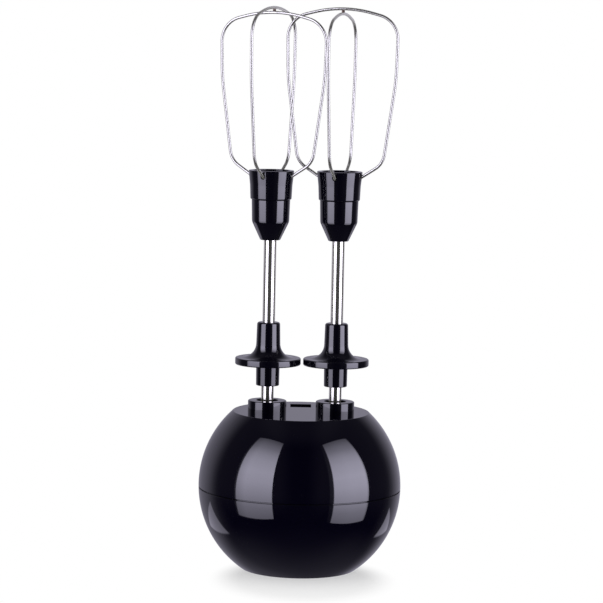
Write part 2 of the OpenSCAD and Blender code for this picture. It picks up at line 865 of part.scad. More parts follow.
module output_gear(side, turn) {
    color(nylon)
        on_side(side)
            translate([0, 0, output_z])
                difference() {
                    gear(output_teeth, output_module, output_face, turn);
                    translate([0, 0, -1])
                        cylinder(d = spindle_d + 2 * seat_fit, h = output_face + 2);
                    for (z = [-1, output_face - web_recess])
                        translate([0, 0, z])
                            tube(whisk_pitch / 2 - web_rim, spindle_d / 2 + web_rim, web_recess + 1);
                }
}

module spindle(side, turn) {
    color(steel)
        on_side(side)
            difference() {
                translate([0, 0, bridge_z])
                    cylinder(d = spindle_d, h = spindle_top - bridge_z);
                translate([0, 0, tail_z + tail_l])
                    cylinder(d = shaft_d + 2 * run_fit, h = deck_z);
                translate([0, 0, tail_z - face_gap])
                    rotate([0, 0, turn])
                        translate([-tail_af / 2 - run_fit, -tail_af / 2 - run_fit, 0])
                            cube([tail_af + 2 * run_fit, tail_af + 2 * run_fit, tail_l + 1]);
                translate([0, 0, output_top])
                    tube(spindle_d, spindle_d / 2 - clip_depth, clip_t);
                translate([0, 0, grip_z - grip_wire / 2])
                    cylinder(r = shaft_d / 2 + grip_wire + grip_play, h = grip_wire);
            }
}

module spindle_clip(side) {
    color(steel)
        on_side(side)
            translate([0, 0, output_top])
                clip(spindle_d / 2 + clip_w, spindle_d / 2 - clip_depth + seat_fit, clip_t);
}

// Spring ring that grips a whisk's shaft, drawn as opened by the shaft
module grip_ring(side) {
    color(steel)
        on_side(side)
            translate([0, 0, grip_z])
                rotate_extrude(angle = grip_span)
                    translate([shaft_d / 2 + run_fit + grip_wire / 2, 0])
                        circle(d = grip_wire - 2 * seat_fit, $fn = 32);
}

module bush_upper(side) {
    color(brass)
        on_side(side)
            translate([0, 0, boss_z])
                tube(bush_d / 2 - seat_fit, spindle_d / 2 + run_fit, seal_z - boss_z);
}

module bush_lower(side) {
    color(brass)
        on_side(side) {
            translate([0, 0, bridge_z])
                tube(bush_d / 2, spindle_d / 2 + run_fit, bridge_t + eps);
            translate([0, 0, bridge_top])
                tube(bush_d / 2 + bush_flange_w, spindle_d / 2 + run_fit, bush_flange_h);
        }
}

module shaft_seal(side) {
    color(black)
        on_side(side)
            translate([0, 0, seal_z])
                tube(bush_d / 2 - seat_fit, spindle_d / 2 + run_fit, seal_h);
}

module whisk_shaft(side, turn) {
    color(steel)
        on_side(side) {
            translate([0, 0, tail_z + tail_l])
                cylinder(d = shaft_d, h = shaft_top - tail_z - tail_l);
            translate([0, 0, tail_z])
                rotate([0, 0, turn])
                    translate([-tail_af / 2, -tail_af / 2, 0])
                        cube([tail_af, tail_af, tail_l + 1]);
        }
}

// Sleeve with a round flange, revolved from its outline
module flange_hub(side) {
    bore_r = shaft_d / 2 + seat_fit;
    sleeve_r = sleeve_d / 2;
    neck_r = sleeve_r + neck_swell;
    rim_r = flange_d / 2;
    low = flange_rise;
    high = flange_rise + flange_t;
    color(black)
        on_side(side)
            translate([0, 0, hub_base])
                rotate_extrude($fn = 128)
                    polygon(outline([
                        [bore_r, 0, 0], [sleeve_r - sleeve_draft, 0, sleeve_round], [sleeve_r, low, 0],
                        [rim_r, low, flange_edge], [rim_r, high, flange_edge],
                        [neck_r, high, flange_fillet], [neck_r - neck_draft, hub_l, neck_round],
                        [bore_r, hub_l, 0]
                    ]));
}

module cup(side) {
    body_r = cup_d / 2;
    bore_r = shaft_d / 2 + seat_fit;
    plug_r = ring_in - plug_step + seat_fit;
    color(black)
        on_side(side)
            translate([0, 0, cup_z])
                rotate_extrude($fn = 128)
                    polygon(outline([
                        [bore_r, 0, 0], [cup_foot_d / 2, 0, foot_round],
                        [body_r - cup_draft, cone_l, shoulder_round], [body_r, cup_l, cup_round],
                        [plug_r, cup_l, 0], [plug_r, cup_l - plug_foot, 0], [bore_r, cup_l - plug_foot, 0]
                    ]));
}

// Four sloped holes for the wires' ends
module wire_holes(turn, r) {
    for (k = [0 : 3])
        rotate([0, 0, turn - 90 + 90 * k])
            rotate([90, 0, 0])
                rod(wire_path(0)[0], wire_path(0)[1], r);
}

module cup_ring(side, turn) {
    body_r = cup_d / 2;
    mouth_r = ring_in + seat_fit;
    color(black)
        on_side(side)
            difference() {
                translate([0, 0, ring_z])
                    rotate_extrude($fn = 128)
                        polygon(outline([
                            [mouth_r, 0, 0], [body_r + ring_step, 0, ring_round],
                            [body_r + ring_waist, ring_l * waist_share, 0], [rim_d / 2, ring_l, rim_round],
                            [mouth_r, ring_l, 0]
                        ]));
                wire_holes(turn, wire_r + hole_play);
            }
}

// Plug inside the cup that holds the wires' ends
module wire_plug(side, turn) {
    color(black)
        on_side(side)
            difference() {
                union() {
                    translate([0, 0, plug_z])
                        cylinder(r = ring_in - plug_step, h = plug_foot + eps);
                    translate([0, 0, ring_z])
                        cylinder(r = ring_in, h = plug_top - ring_z);
                }
                cylinder(d = shaft_d + 2 * seat_fit, h = shaft_top);
                wire_holes(turn, wire_r + seat_fit);
            }
}

// Half of a loop from its end in the plug to its tip: [radius, height] and the bend's radius at each corner
function wire_path(step) =
    let (
        knee = [loop_r - knee_in, rim_z + knee_rise],
        slope = unit(knee - [rim_d / 2, rim_z - hole_drop]),
        reach = (knee[0] - wire_end_r) / slope[0]
    )
    [
        knee - reach * slope, knee, [loop_r - side_in, rim_z + loop_l * side_share],
        [loop_r, tip_z - shoulder_drop + step], [0, tip_z + crown_rise + step]
    ];
bend_radii = [0, knee_bend, side_bend, shoulder_bend, crown_bend];

// Straight rod in the XY plane
module rod(from, to, r) {
    run = to - from;
    translate([from[0], from[1], 0])
        rotate([0, 0, atan2(run[1], run[0])])
            rotate([0, 90, 0])
                cylinder(r = r, h = norm(run));
}

function sideways(angle) = [-sin(angle), cos(angle)];

// Stations [point, heading] round the bend at b on the path a, b, c
function bend_stations(a, b, c, radius) =
    let (
        start = heading(b - a),
        turn = wrapped(heading(c - b) - start),
        side = turn > 0 ? 1 : -1,
        cut = radius * tan(abs(turn) / 2),
        centre = b - unit(b - a) * cut + sideways(start) * radius * side,
        steps = ceil(abs(turn) / bend_step)
    )
    [for (k = [0 : steps])
        let (angle = start + turn * k / steps)
        [centre - sideways(angle) * radius * side, angle]];

// Stations along a whole path, with a bend at each inner point
function path_stations(path, radii) =
    let (last = len(path) - 1)
    concat(
        [[path[0], heading(path[1] - path[0])]],
        [for (i = [1 : last - 1]) each bend_stations(path[i - 1], path[i], path[i + 1], radii[i])],
        [[path[last], heading(path[last] - path[last - 1])]]
    );

// Wire swept through the stations, in the XY plane
module swept_wire(path, radii, r) {
    stations = path_stations(path, radii);
    rings = len(stations);
    points = [for (s = stations, k = [0 : wire_sides - 1])
        let (a = 360 * (k + 0.5) / wire_sides)
        concat(s[0] + sideways(s[1]) * r * cos(a), [r * sin(a)])];
    first_cap = [[for (k = [0 : wire_sides - 1]) wire_sides - 1 - k]];
    last_cap = [[for (k = [0 : wire_sides - 1]) (rings - 1) * wire_sides + k]];
    walls = [for (i = [0 : rings - 2], k = [0 : wire_sides - 1])
        let (j = (k + 1) % wire_sides, low = i * wire_sides, high = low + wire_sides)
        [low + k, low + j, high + j, high + k]];
    polyhedron(points, concat(first_cap, last_cap, walls));
}

module wire_loop(turn, step) {
    half = wire_path(step);
    other = [for (i = [3 : -1 : 0]) [-half[i][0], half[i][1]]];
    back = [for (i = [3 : -1 : 0]) bend_radii[i]];
    rotate([0, 0, turn - 90])
        rotate([90, 0, 0])
            swept_wire(concat(half, other), concat(bend_radii, back), wire_r);
}

module outer_loop(side, turn) {
    color(steel)
        on_side(side)
            wire_loop(turn, loop_step);
}

module inner_loop(side, turn) {
    color(steel)
        on_side(side)
            wire_loop(turn, 0);
}

// Weld bead between the two loops of a whisk
module tip_weld(side) {
    color(steel)
        on_side(side)
            translate([0, 0, crown_z + loop_step / 2])
                sphere(r = cross_gap / 2 - seat_fit, $fn = 32);
}

upper_shell();
lower_shell();
gear_plate();
bridge_plate();
plate_screws();
bridge_screws();
base_screws();
drive_coupling();
input_shaft();
input_pinion();
input_clip();
input_bush_lower();
input_bush_upper();
input_washer();
idler_axle();
idler_gear();
idler_washers();
output_gear(-1, left_gear_turn);  // left_output_gear
spindle(-1, left_turn);  // left_spindle
spindle_clip(-1);  // left_spindle_clip
grip_ring(-1);  // left_grip_ring
bush_upper(-1);  // left_bush_upper
bush_lower(-1);  // left_bush_lower
shaft_seal(-1);  // left_shaft_seal
output_gear(1, right_gear_turn);  // right_output_gear
spindle(1, right_turn);  // right_spindle
spindle_clip(1);  // right_spindle_clip
grip_ring(1);  // right_grip_ring
bush_upper(1);  // right_bush_upper
bush_lower(1);  // right_bush_lower
shaft_seal(1);  // right_shaft_seal
whisk_shaft(-1, left_turn);  // left_whisk_shaft
flange_hub(-1);  // left_flange_hub
cup(-1);  // left_cup
cup_ring(-1, left_turn);  // left_cup_ring
wire_plug(-1, left_turn);  // left_wire_plug
outer_loop(-1, left_turn);  // left_outer_loop
inner_loop(-1, left_turn + 90);  // left_inner_loop
tip_weld(-1);  // left_tip_weld
whisk_shaft(1, right_turn);  // right_whisk_shaft
flange_hub(1);  // right_flange_hub
cup(1);  // right_cup
cup_ring(1, right_turn);  // right_cup_ring
wire_plug(1, right_turn);  // right_wire_plug
outer_loop(1, right_turn + 90);  // right_outer_loop
inner_loop(1, right_turn);  // right_inner_loop
tip_weld(1);  // right_tip_weld
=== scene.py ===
# %% [markdown]
# # Twin-whisk mixer head
# The part is the lower end of a hand mixer: a black ball with the gears inside, standing on its flat
# foot, and two wire whisks plugged into its top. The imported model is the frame. Every piece made here
# lies where that frame says and rides on one of its bodies, so the looks can be rebuilt without touching
# the engineering.

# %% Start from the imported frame
import json
import math
import bmesh
import bpy
from mathutils import Matrix, Vector


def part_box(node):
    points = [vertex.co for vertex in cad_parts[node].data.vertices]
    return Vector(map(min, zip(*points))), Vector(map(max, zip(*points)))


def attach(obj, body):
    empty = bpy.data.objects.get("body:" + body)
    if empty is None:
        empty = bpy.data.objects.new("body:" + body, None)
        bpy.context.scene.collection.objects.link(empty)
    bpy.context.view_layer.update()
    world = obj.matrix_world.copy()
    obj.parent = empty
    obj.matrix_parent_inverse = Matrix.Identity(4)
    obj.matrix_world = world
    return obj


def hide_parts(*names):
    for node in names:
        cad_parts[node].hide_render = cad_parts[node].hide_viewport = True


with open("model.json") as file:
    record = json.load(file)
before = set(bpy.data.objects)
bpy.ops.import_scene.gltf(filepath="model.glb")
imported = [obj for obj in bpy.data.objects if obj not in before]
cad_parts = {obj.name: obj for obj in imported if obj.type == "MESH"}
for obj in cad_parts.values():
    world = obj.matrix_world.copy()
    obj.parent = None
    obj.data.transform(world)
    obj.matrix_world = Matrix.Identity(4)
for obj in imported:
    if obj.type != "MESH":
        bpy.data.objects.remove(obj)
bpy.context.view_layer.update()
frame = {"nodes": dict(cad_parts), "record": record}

# %% [markdown]
# ## Heights taken from the frame
# Blender works in metres, while a drawing of a mixer is in millimetres. The pieces below are drawn in
# millimetres and scaled once, as each mesh is written. The main heights are measured on the frame's own
# nodes, so nothing has to be fitted by eye.

# %% Measure the levels of the head
MM = 0.001


def level(node, end):
    """Lowest (0) or highest (1) level of a node, in millimetres."""
    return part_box(node)[end].z / MM


def axis_of(side):
    """X of a whisk's axis, in millimetres."""
    low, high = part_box(side + "_flange_hub")
    return (low.x + high.x) / 2 / MM


SIDES = ("left", "right")
WHISK_TURN = {"left": -22.5, "right": -15.0}
BALL_R = 50.0
FOOT_R = 28.3
SEAM_DROP = 1.0
COLLAR_H = 5.3
COLLAR_TOP = level("upper_shell", 1)
DECK_Z = COLLAR_TOP - COLLAR_H
BALL_Z = math.sqrt(BALL_R ** 2 - FOOT_R ** 2)
SEAM_Z = BALL_Z - SEAM_DROP
RIM_Z = level("left_cup_ring", 1)
RING_Z = level("left_cup_ring", 0)
CUP_Z = level("left_cup", 0)
HUB_Z = level("left_flange_hub", 0)
HUB_TOP = level("left_flange_hub", 1)
for side in SIDES:
    print(side, "axis at x =", round(axis_of(side), 2), "mm")
print("deck", round(DECK_Z, 2), "hub", round(HUB_Z, 2), "cup", round(CUP_Z, 2), "rim", round(RIM_Z, 2))

# %% [markdown]
# ## The camera
# A long lens stands about 1.4 m away and a little above the whisks' rims, so that the flat deck shows as
# a thin ellipse. It leans by about one degree, which is why the seam seems to climb to the left.

# %% Set the long lens
CAMERA_AT = Vector((-0.0121, -1.3959, 0.2817))
CAMERA_YAW = 0.0081
CAMERA_PITCH = -0.1063
CAMERA_ROLL = 0.0198
CAMERA_LENS = 170.3


def place(name, data):
    """New object in the scene, at the origin."""
    made = bpy.data.objects.new(name, data)
    bpy.context.scene.collection.objects.link(made)
    return made


def aim_camera(cam):
    """Turns the camera by its yaw, pitch and roll."""
    ahead = Vector((math.sin(CAMERA_YAW) * math.cos(CAMERA_PITCH),
                    math.cos(CAMERA_YAW) * math.cos(CAMERA_PITCH), math.sin(CAMERA_PITCH)))
    right = Vector((math.cos(CAMERA_YAW), -math.sin(CAMERA_YAW), 0))
    up = right.cross(ahead)
    x_axis = math.cos(CAMERA_ROLL) * right + math.sin(CAMERA_ROLL) * up
    y_axis = math.cos(CAMERA_ROLL) * up - math.sin(CAMERA_ROLL) * right
    turn = Matrix((x_axis, y_axis, -ahead)).transposed().to_4x4()
    cam.matrix_world = Matrix.Translation(CAMERA_AT) @ turn


camera = place("long_lens", bpy.data.cameras.new("long_lens"))
camera.data.lens = CAMERA_LENS
camera.data.sensor_width = 36
camera.data.clip_start = 0.05
camera.data.clip_end = 30
aim_camera(camera)
bpy.context.scene.camera = camera
bpy.context.scene.view_settings.view_transform = "Standard"
print("camera", CAMERA_LENS, "mm lens at", [round(v, 3) for v in CAMERA_AT])

# %% [markdown]
# ## Small helpers for node trees
# A material, a world and a geometry tree are all node trees. These helpers keep the wiring readable. A
# source is either a node, for its first output, or a pair of a node and one of its outputs.

# %% Wire nodes by name


def add_node(tree, kind, settings=None, **inputs):
    """New node, with its properties from settings and its unlinked inputs by name."""
    node = tree.nodes.new(kind)
    for key, value in (settings or {}).items():
        setattr(node, key, value)
    for key, value in inputs.items():
        node.inputs[key.replace("_", " ")].default_value = value
    return node


def output_of(source):
    """Output of a (node, output) pair, or a node's first output."""
    node, out = source if isinstance(source, tuple) else (source, 0)
    return node.outputs[out]


def join(tree, *pairs):
    """Links each (source, target) pair. A target is (node, input), or a node for its first input."""
    for source, target in pairs:
        node, into = target if isinstance(target, tuple) else (target, 0)
        tree.links.new(output_of(source), node.inputs[into])


def ramp(tree, stops):
    """Ramp with the given (position, grey) stops."""
    node = tree.nodes.new("ShaderNodeValToRGB")
    elements = node.color_ramp.elements
    while len(elements) < len(stops):
        elements.new(0.5)
    for element, (position, grey) in zip(elements, stops):
        element.position = position
        element.color = (grey, grey, grey, 1)
    return node


def maths(tree, operation, *values, clamp=False):
    """Math node; its values are numbers, nodes or (node, output) pairs."""
    node = add_node(tree, "ShaderNodeMath", {"operation": operation, "use_clamp": clamp})
    for index, value in enumerate(values):
        if isinstance(value, (int, float)):
            node.inputs[index].default_value = value
        else:
            join(tree, (value, (node, index)))
    return node


def even_step(tree, source, start, end, first=0.0, last=1.0, curve="LINEAR"):
    """Change from first to last while a source goes from start to end."""
    step = add_node(tree, "ShaderNodeMapRange", {"interpolation_type": curve},
                    From_Min=start, From_Max=end, To_Min=first, To_Max=last)
    join(tree, (source, step))
    return step


def soft_step(*values):
    """The same change, but it starts and ends gently."""
    return even_step(*values, curve="SMOOTHSTEP")


def product(tree, first, *others):
    """Product of the values of several nodes."""
    for other in others:
        first = maths(tree, "MULTIPLY", first, other)
    return first


def blend(tree, mask, first, second):
    """Blend of two colours by a mask; the colour is its output 2."""
    tint = add_node(tree, "ShaderNodeMix", {"data_type": "RGBA"})
    tint.inputs[6].default_value = (*first, 1)
    tint.inputs[7].default_value = (*second, 1)
    join(tree, (mask, tint))
    return tint


print("node helpers ready")

# %% [markdown]
# ## The studio
# A glossy black ball shows the whole room, so the room is part of the model's look. It has a plain white
# backdrop, two tall soft boxes to the left and right of the camera, a dim grey wall behind, and a dark
# side where the camera stands. The boxes that the gloss mirrors are far brighter than paper, so they are
# hidden from diffuse light, which comes from plain lamps at a level where a colour renders about as it is
# written.

# %% Paint the room that the gloss mirrors
# Tone of the wall behind the ball, by how far behind the ball a direction points (0 to 1).
BACK_WALL = [(0.0, 0.0), (0.18, 0.05), (0.32, 0.1), (0.42, 0.22), (0.52, 0.38), (0.62, 0.48), (0.75, 0.5),
             (0.87, 0.44), (1.0, 0.35)]
WALL_SHIFT = 0.2
TABLE_TONE = 0.15
SHEET_TONE = 1.1
# Where things end on the floor below, as distance from the ball over depth below it
TABLE_EDGE = (1.2, 1.3)
SHADOW_EDGE = (-0.72, -0.6)
SHADOW_SLOPE = 0.93
PAPER_END = (2.1, 2.35)
ROOM_TINT = (0.97, 0.93, 1.15, 1)
FILL_LEVEL = 0.55

world = bpy.data.worlds.new("studio")
bpy.context.scene.world = world
world.use_nodes = True
room = world.node_tree
room.nodes.clear()
where = add_node(room, "ShaderNodeTexCoord")
split = add_node(room, "ShaderNodeSeparateXYZ")
join(room, ((where, "Generated"), split))
aside = maths(room, "ABSOLUTE", (split, "X"))
down = maths(room, "MULTIPLY", (split, "Z"), -1.0)

# The dark side where the camera stands, a little lighter towards the boxes and overhead
beside = product(room, soft_step(room, aside, 0.1, 0.45, 0.0, 0.06),
                 soft_step(room, (split, "Z"), -0.5, 0.0))
overhead = soft_step(room, (split, "Z"), 0.75, 0.97, 0.01, 0.07)
camera_side = maths(room, "ADD", beside, overhead)

# The wall behind, which starts later on the right and darkens towards ceiling and floor
shift = soft_step(room, (split, "X"), -0.15, 0.15, 0.0, WALL_SHIFT)
behind = maths(room, "SUBTRACT", (split, "Y"), shift, clamp=True)
wall = ramp(room, BACK_WALL)
join(room, (behind, wall))
wall = product(room, wall, soft_step(room, (split, "Z"), 0.2, 0.9, 1.0, 0.25),
               soft_step(room, (split, "Z"), -0.35, 0.0, 0.8, 1.0))
around = maths(room, "MAXIMUM", camera_side, wall)

# The dark table below, with the white floor that shows past its two sides
around = product(room, around, soft_step(room, down, 0.4, 0.75, 1.0, 0.4))
table = product(room, soft_step(room, down, 0.5, 0.97, 0.0, TABLE_TONE),
                soft_step(room, (split, "Y"), -0.6, 0.2, 0.3, 1.0))
below = maths(room, "MAXIMUM", down, 0.05)
floor_x = maths(room, "DIVIDE", aside, below)
floor_y = maths(room, "DIVIDE", (split, "Y"), below)
past_table = soft_step(room, floor_x, *TABLE_EDGE)
slope = maths(room, "MULTIPLY", floor_x, SHADOW_SLOPE)
past_shadow = maths(room, "SUBTRACT", floor_y, slope)
past_shadow = maths(room, "SUBTRACT", past_shadow, maths(room, "MULTIPLY", shift, 2.0))
past_shadow = soft_step(room, past_shadow, *SHADOW_EDGE)
near_enough = soft_step(room, floor_y, *PAPER_END, 1.0, 0.0)
sheet = maths(room, "MULTIPLY", product(room, past_table, past_shadow, near_enough), SHEET_TONE)
around = maths(room, "ADD", around, table)
around = maths(room, "MAXIMUM", around, sheet)
print("room painted with", len(room.nodes), "nodes")

# %% Choose what each kind of ray sees of the room
rays = add_node(room, "ShaderNodeLightPath")
gloss_or_glass = maths(room, "MAXIMUM", (rays, "Is Glossy Ray"), (rays, "Is Transmission Ray"))
mirrored = add_node(room, "ShaderNodeBackground", Color=ROOM_TINT)
fill = add_node(room, "ShaderNodeBackground", Color=(1, 1, 1, 1), Strength=FILL_LEVEL)
backdrop = add_node(room, "ShaderNodeBackground", Color=(1, 1, 1, 1), Strength=1.0)
fill_or_mirrored = add_node(room, "ShaderNodeMixShader")
seen = add_node(room, "ShaderNodeMixShader")
room_out = add_node(room, "ShaderNodeOutputWorld")
join(room, (around, (mirrored, "Strength")), (gloss_or_glass, fill_or_mirrored),
     (fill, (fill_or_mirrored, 1)), (mirrored, (fill_or_mirrored, 2)),
     ((rays, "Is Camera Ray"), seen), (fill_or_mirrored, (seen, 1)),
     (backdrop, (seen, 2)), (seen, (room_out, "Surface")))
print("backdrop white, fill", FILL_LEVEL)

# %% Hang the soft boxes and the plain lamps
BOX_TONE = (0.83, 0.8, 1.0)
# Power of a lamp of brightness 1, in watts for each square metre
WATTS = 4
TOP_LAMP_Z = 1.45


def panel(name, width, height, brightness, tone=(1, 1, 1)):
    """Flat lamp at the origin, facing down and hidden from the camera."""
    lamp = bpy.data.lights.new(name, "AREA")
    lamp.shape = "RECTANGLE"
    lamp.size = width
    lamp.size_y = height
    lamp.color = tone
    lamp.energy = WATTS * width * height * brightness
    hung = place(name, lamp)
    hung.visible_camera = False
    return hung


def stand(hung, azimuth, distance, across, above):
    """Stands a lamp upright to face the ball, with its middle across to the right and above the ball's."""
    a = math.radians(azimuth)
    out = Vector((math.sin(a), -math.cos(a), 0))
    along = Vector((math.cos(a), math.sin(a), 0))
    up = Vector((0, 0, 1))
    spot = out * distance + along * across + up * (above + BALL_Z * MM)
    turn = Matrix((up.cross(out), up, out)).transposed().to_4x4()
    hung.matrix_world = Matrix.Translation(spot) @ turn


def fade(lamp, upright, across):
    """Makes a soft box brightest where its bulb sits: stops from bottom to top and from left to right."""
    lamp.use_nodes = True
    tree = lamp.node_tree
    emission = tree.nodes["Emission"]
    spot = add_node(tree, "ShaderNodeNewGeometry")
    parts = add_node(tree, "ShaderNodeSeparateXYZ")
    glow_up, glow_across = ramp(tree, upright), ramp(tree, across)
    join(tree, ((spot, "Parametric"), parts), ((parts, "Y"), glow_up),
         ((parts, "X"), glow_across))
    join(tree, (product(tree, glow_up, glow_across), (emission, "Strength")))


BULB = [(0.0, 0.3), (0.12, 0.44), (0.25, 0.71), (0.36, 0.92), (0.46, 1.0), (0.585, 0.87), (0.675, 0.7),
        (0.786, 0.43), (0.936, 0.22), (1.0, 0.15)]
LEFT_ACROSS = [(0.0, 0.035), (0.055, 0.045), (0.075, 0.72), (0.35, 1.0), (1.0, 1.0)]
RIGHT_ACROSS = [(0.0, 0.02), (0.085, 0.03), (0.1, 0.95), (0.5, 1.0), (0.93, 0.93), (1.0, 0.5)]
left_box = panel("left_soft_box", 1.023, 2.173, 6.3, BOX_TONE)
right_box = panel("right_soft_box", 1.068, 2.13, 6.9, BOX_TONE)
stand(left_box, azimuth=-42, distance=1.1, across=-0.2875, above=0.4785)
stand(right_box, azimuth=48.3, distance=1.1, across=0.242, above=0.378)
fade(left_box.data, BULB, LEFT_ACROSS)
fade(right_box.data, BULB, RIGHT_ACROSS)
for box_lamp in (left_box, right_box):
    box_lamp.visible_diffuse = False
for name, azimuth in (("left_plain_lamp", -50), ("right_plain_lamp", 50)):
    plain = panel(name, 1.2, 1.6, 0.45)
    stand(plain, azimuth, distance=1.6, across=0, above=0.5)
    plain.visible_glossy = False
top_lamp = panel("top_plain_lamp", 1.4, 1.4, 0.9)
top_lamp.matrix_world = Matrix.Translation((0, 0, TOP_LAMP_Z))
top_lamp.visible_glossy = False

# %% [markdown]
# ## The floor
# The floor is plain and pale. Near the ball it takes a soft shadow; further out it fades into the white
# backdrop, so that no horizon shows. Gloss looks straight through it, as over a sheet of clear glass, and
# from below it is clear as well, so that the foot can be inspected.

# %% Lay the pale floor
SHADOW_NEAR = 0.04
SHADOW_FAR = 0.064
SHADOW_SHAPE = (1.35, 1.08, 0.0)
SHADOW_MIDDLE = (-0.003, 0.034, 0.0)
FLOOR_GLOW = 0.5
FLOOR_PAPER = 0.5


def floor_finish():
    """White paper with a soft shadow that fades into the backdrop; mirrors and glass see through it."""
    paint = bpy.data.materials.new("pale_floor")
    paint.use_nodes = True
    tree = paint.node_tree
    tree.nodes.clear()
    spot = add_node(tree, "ShaderNodeTexCoord")
    squeezed = add_node(tree, "ShaderNodeVectorMath", {"operation": "MULTIPLY_ADD"})
    squeezed.inputs[1].default_value = SHADOW_SHAPE
    squeezed.inputs[2].default_value = SHADOW_MIDDLE
    reach = add_node(tree, "ShaderNodeVectorMath", {"operation": "LENGTH"})
    near = soft_step(tree, (reach, "Value"), SHADOW_NEAR, SHADOW_FAR)
    paper = add_node(tree, "ShaderNodeBsdfDiffuse", Color=(FLOOR_PAPER, FLOOR_PAPER, FLOOR_PAPER, 1))
    glow = add_node(tree, "ShaderNodeEmission", Color=(1, 1, 1, 1), Strength=FLOOR_GLOW)
    white = add_node(tree, "ShaderNodeEmission", Color=(1, 1, 1, 1), Strength=1.0)
    lit = add_node(tree, "ShaderNodeAddShader")
    seen_floor = add_node(tree, "ShaderNodeMixShader")
    clear = add_node(tree, "ShaderNodeBsdfTransparent")
    kind = add_node(tree, "ShaderNodeLightPath")
    sides = add_node(tree, "ShaderNodeNewGeometry")
    through = maths(tree, "MAXIMUM", (kind, "Is Glossy Ray"), (kind, "Is Shadow Ray"))
    through = maths(tree, "MAXIMUM", through, (kind, "Is Transmission Ray"))
    through = maths(tree, "MAXIMUM", through, (sides, "Backfacing"))
    last = add_node(tree, "ShaderNodeMixShader")
    out = add_node(tree, "ShaderNodeOutputMaterial")
    join(tree, ((spot, "Object"), squeezed), (squeezed, reach), (paper, lit),
         (glow, (lit, 1)), (near, seen_floor), (lit, (seen_floor, 1)),
         (white, (seen_floor, 2)), (through, last), (seen_floor, (last, 1)),
         (clear, (last, 2)), (last, (out, "Surface")))
    return paint


floor_mesh = bpy.data.meshes.new("floor")
floor_mesh.from_pydata([(-3, -3, 0), (3, -3, 0), (3, 3, 0), (-3, 3, 0)], [], [(0, 1, 2, 3)])
floor_mesh.materials.append(floor_finish())
floor = place("floor", floor_mesh)
print("floor laid")

# %% [markdown]
# ## Finishes shared by several pieces
# Two effects come back on many pieces. Moulded plastic has a faint unevenness from the mould and a little
# dust, and machined or drawn metal has fine lines along one direction. Each is a node group with named
# inputs, built once and placed in every material that needs it.

# %% Build the moulded-skin group


def new_group(name, inputs, outputs, tree_kind="ShaderNodeTree"):
    """Empty node group; inputs are (name, kind, default)."""
    group = bpy.data.node_groups.new(name, tree_kind)
    for label, kind, default in inputs:
        socket = group.interface.new_socket(label, in_out="INPUT", socket_type="NodeSocket" + kind)
        if default is not None:
            socket.default_value = default
    for label, kind in outputs:
        group.interface.new_socket(label, in_out="OUTPUT", socket_type="NodeSocket" + kind)
    return group, group.nodes.new("NodeGroupInput"), group.nodes.new("NodeGroupOutput")


def moulded_skin():
    """Height of a mould's faint waviness, a smudge mask and a dust mask."""
    group, given, result = new_group(
        "moulded_skin",
        [("Place", "Vector", None), ("Wave Size", "Float", 0.006), ("Grain Size", "Float", 0.0004),
         ("Dust Size", "Float", 0.0016)],
        [("Height", "Float"), ("Smudge", "Float"), ("Dust", "Float")])
    scales = [maths(group, "DIVIDE", 1.0, (given, n)) for n in ("Wave Size", "Grain Size", "Dust Size")]
    wave = add_node(group, "ShaderNodeTexNoise", Detail=1.0)
    grain = add_node(group, "ShaderNodeTexNoise", Detail=2.0)
    dust = add_node(group, "ShaderNodeTexVoronoi", Randomness=1.0)
    smudge = add_node(group, "ShaderNodeTexNoise", Detail=3.0, Scale=42.0)
    for texture in (wave, grain, dust, smudge):
        group.links.new(given.outputs["Place"], texture.inputs["Vector"])
    for scale, texture in zip(scales, (wave, grain, dust)):
        group.links.new(scale.outputs[0], texture.inputs["Scale"])
    fine = maths(group, "MULTIPLY", grain, 0.06)
    total = maths(group, "ADD", wave, fine)
    dusty = product(group, even_step(group, (dust, "Distance"), 0.05, 0.09, 1.0, 0.0),
                    even_step(group, smudge, 0.5, 0.7))
    join(group, (total, (result, "Height")), (smudge, (result, "Smudge")),
         (dusty, (result, "Dust")))
    return group


MOULDED_SKIN = moulded_skin()
print("group", MOULDED_SKIN.name, "has", len(MOULDED_SKIN.nodes), "nodes")

# %% Build the fine-lines group


def fine_lines():
    """Lines left by drawing, turning or polishing; Stretch says how long they run along each axis."""
    group, given, result = new_group(
        "fine_lines",
        [("Place", "Vector", None), ("Stretch", "Vector", (1, 1, 1)), ("Line Size", "Float", 0.0002)],
        [("Height", "Float"), ("Streak", "Float")])
    scale = maths(group, "DIVIDE", 1.0, (given, "Line Size"))
    squeezed = add_node(group, "ShaderNodeVectorMath", {"operation": "MULTIPLY"})
    lines = add_node(group, "ShaderNodeTexNoise", Detail=3.0)
    streak = add_node(group, "ShaderNodeTexNoise", Detail=1.0)
    wide = maths(group, "MULTIPLY", scale, 0.12)
    join(group, ((given, "Place"), squeezed), ((given, "Stretch"), (squeezed, 1)),
         (squeezed, (lines, "Vector")), (squeezed, (streak, "Vector")),
         (scale, (lines, "Scale")), (wide, (streak, "Scale")),
         (lines, (result, "Height")), (streak, (result, "Streak")))
    return group


FINE_LINES = fine_lines()
print("group", FINE_LINES.name, "has", len(FINE_LINES.nodes), "nodes")

# %% [markdown]
# ## Black gloss
# The shells and the whisks' collars are moulded in black plastic as smooth as piano lacquer. Almost all
# that one sees is reflection, so the colour stays very dark and slightly blue. The detail is in the
# gloss: a faint wave in the skin bends the edges of the soft boxes, dust dulls single points, and
# handling leaves slight smudges.

# %% Mix the black gloss
DUST_COLOUR = (0.02, 0.02, 0.022)


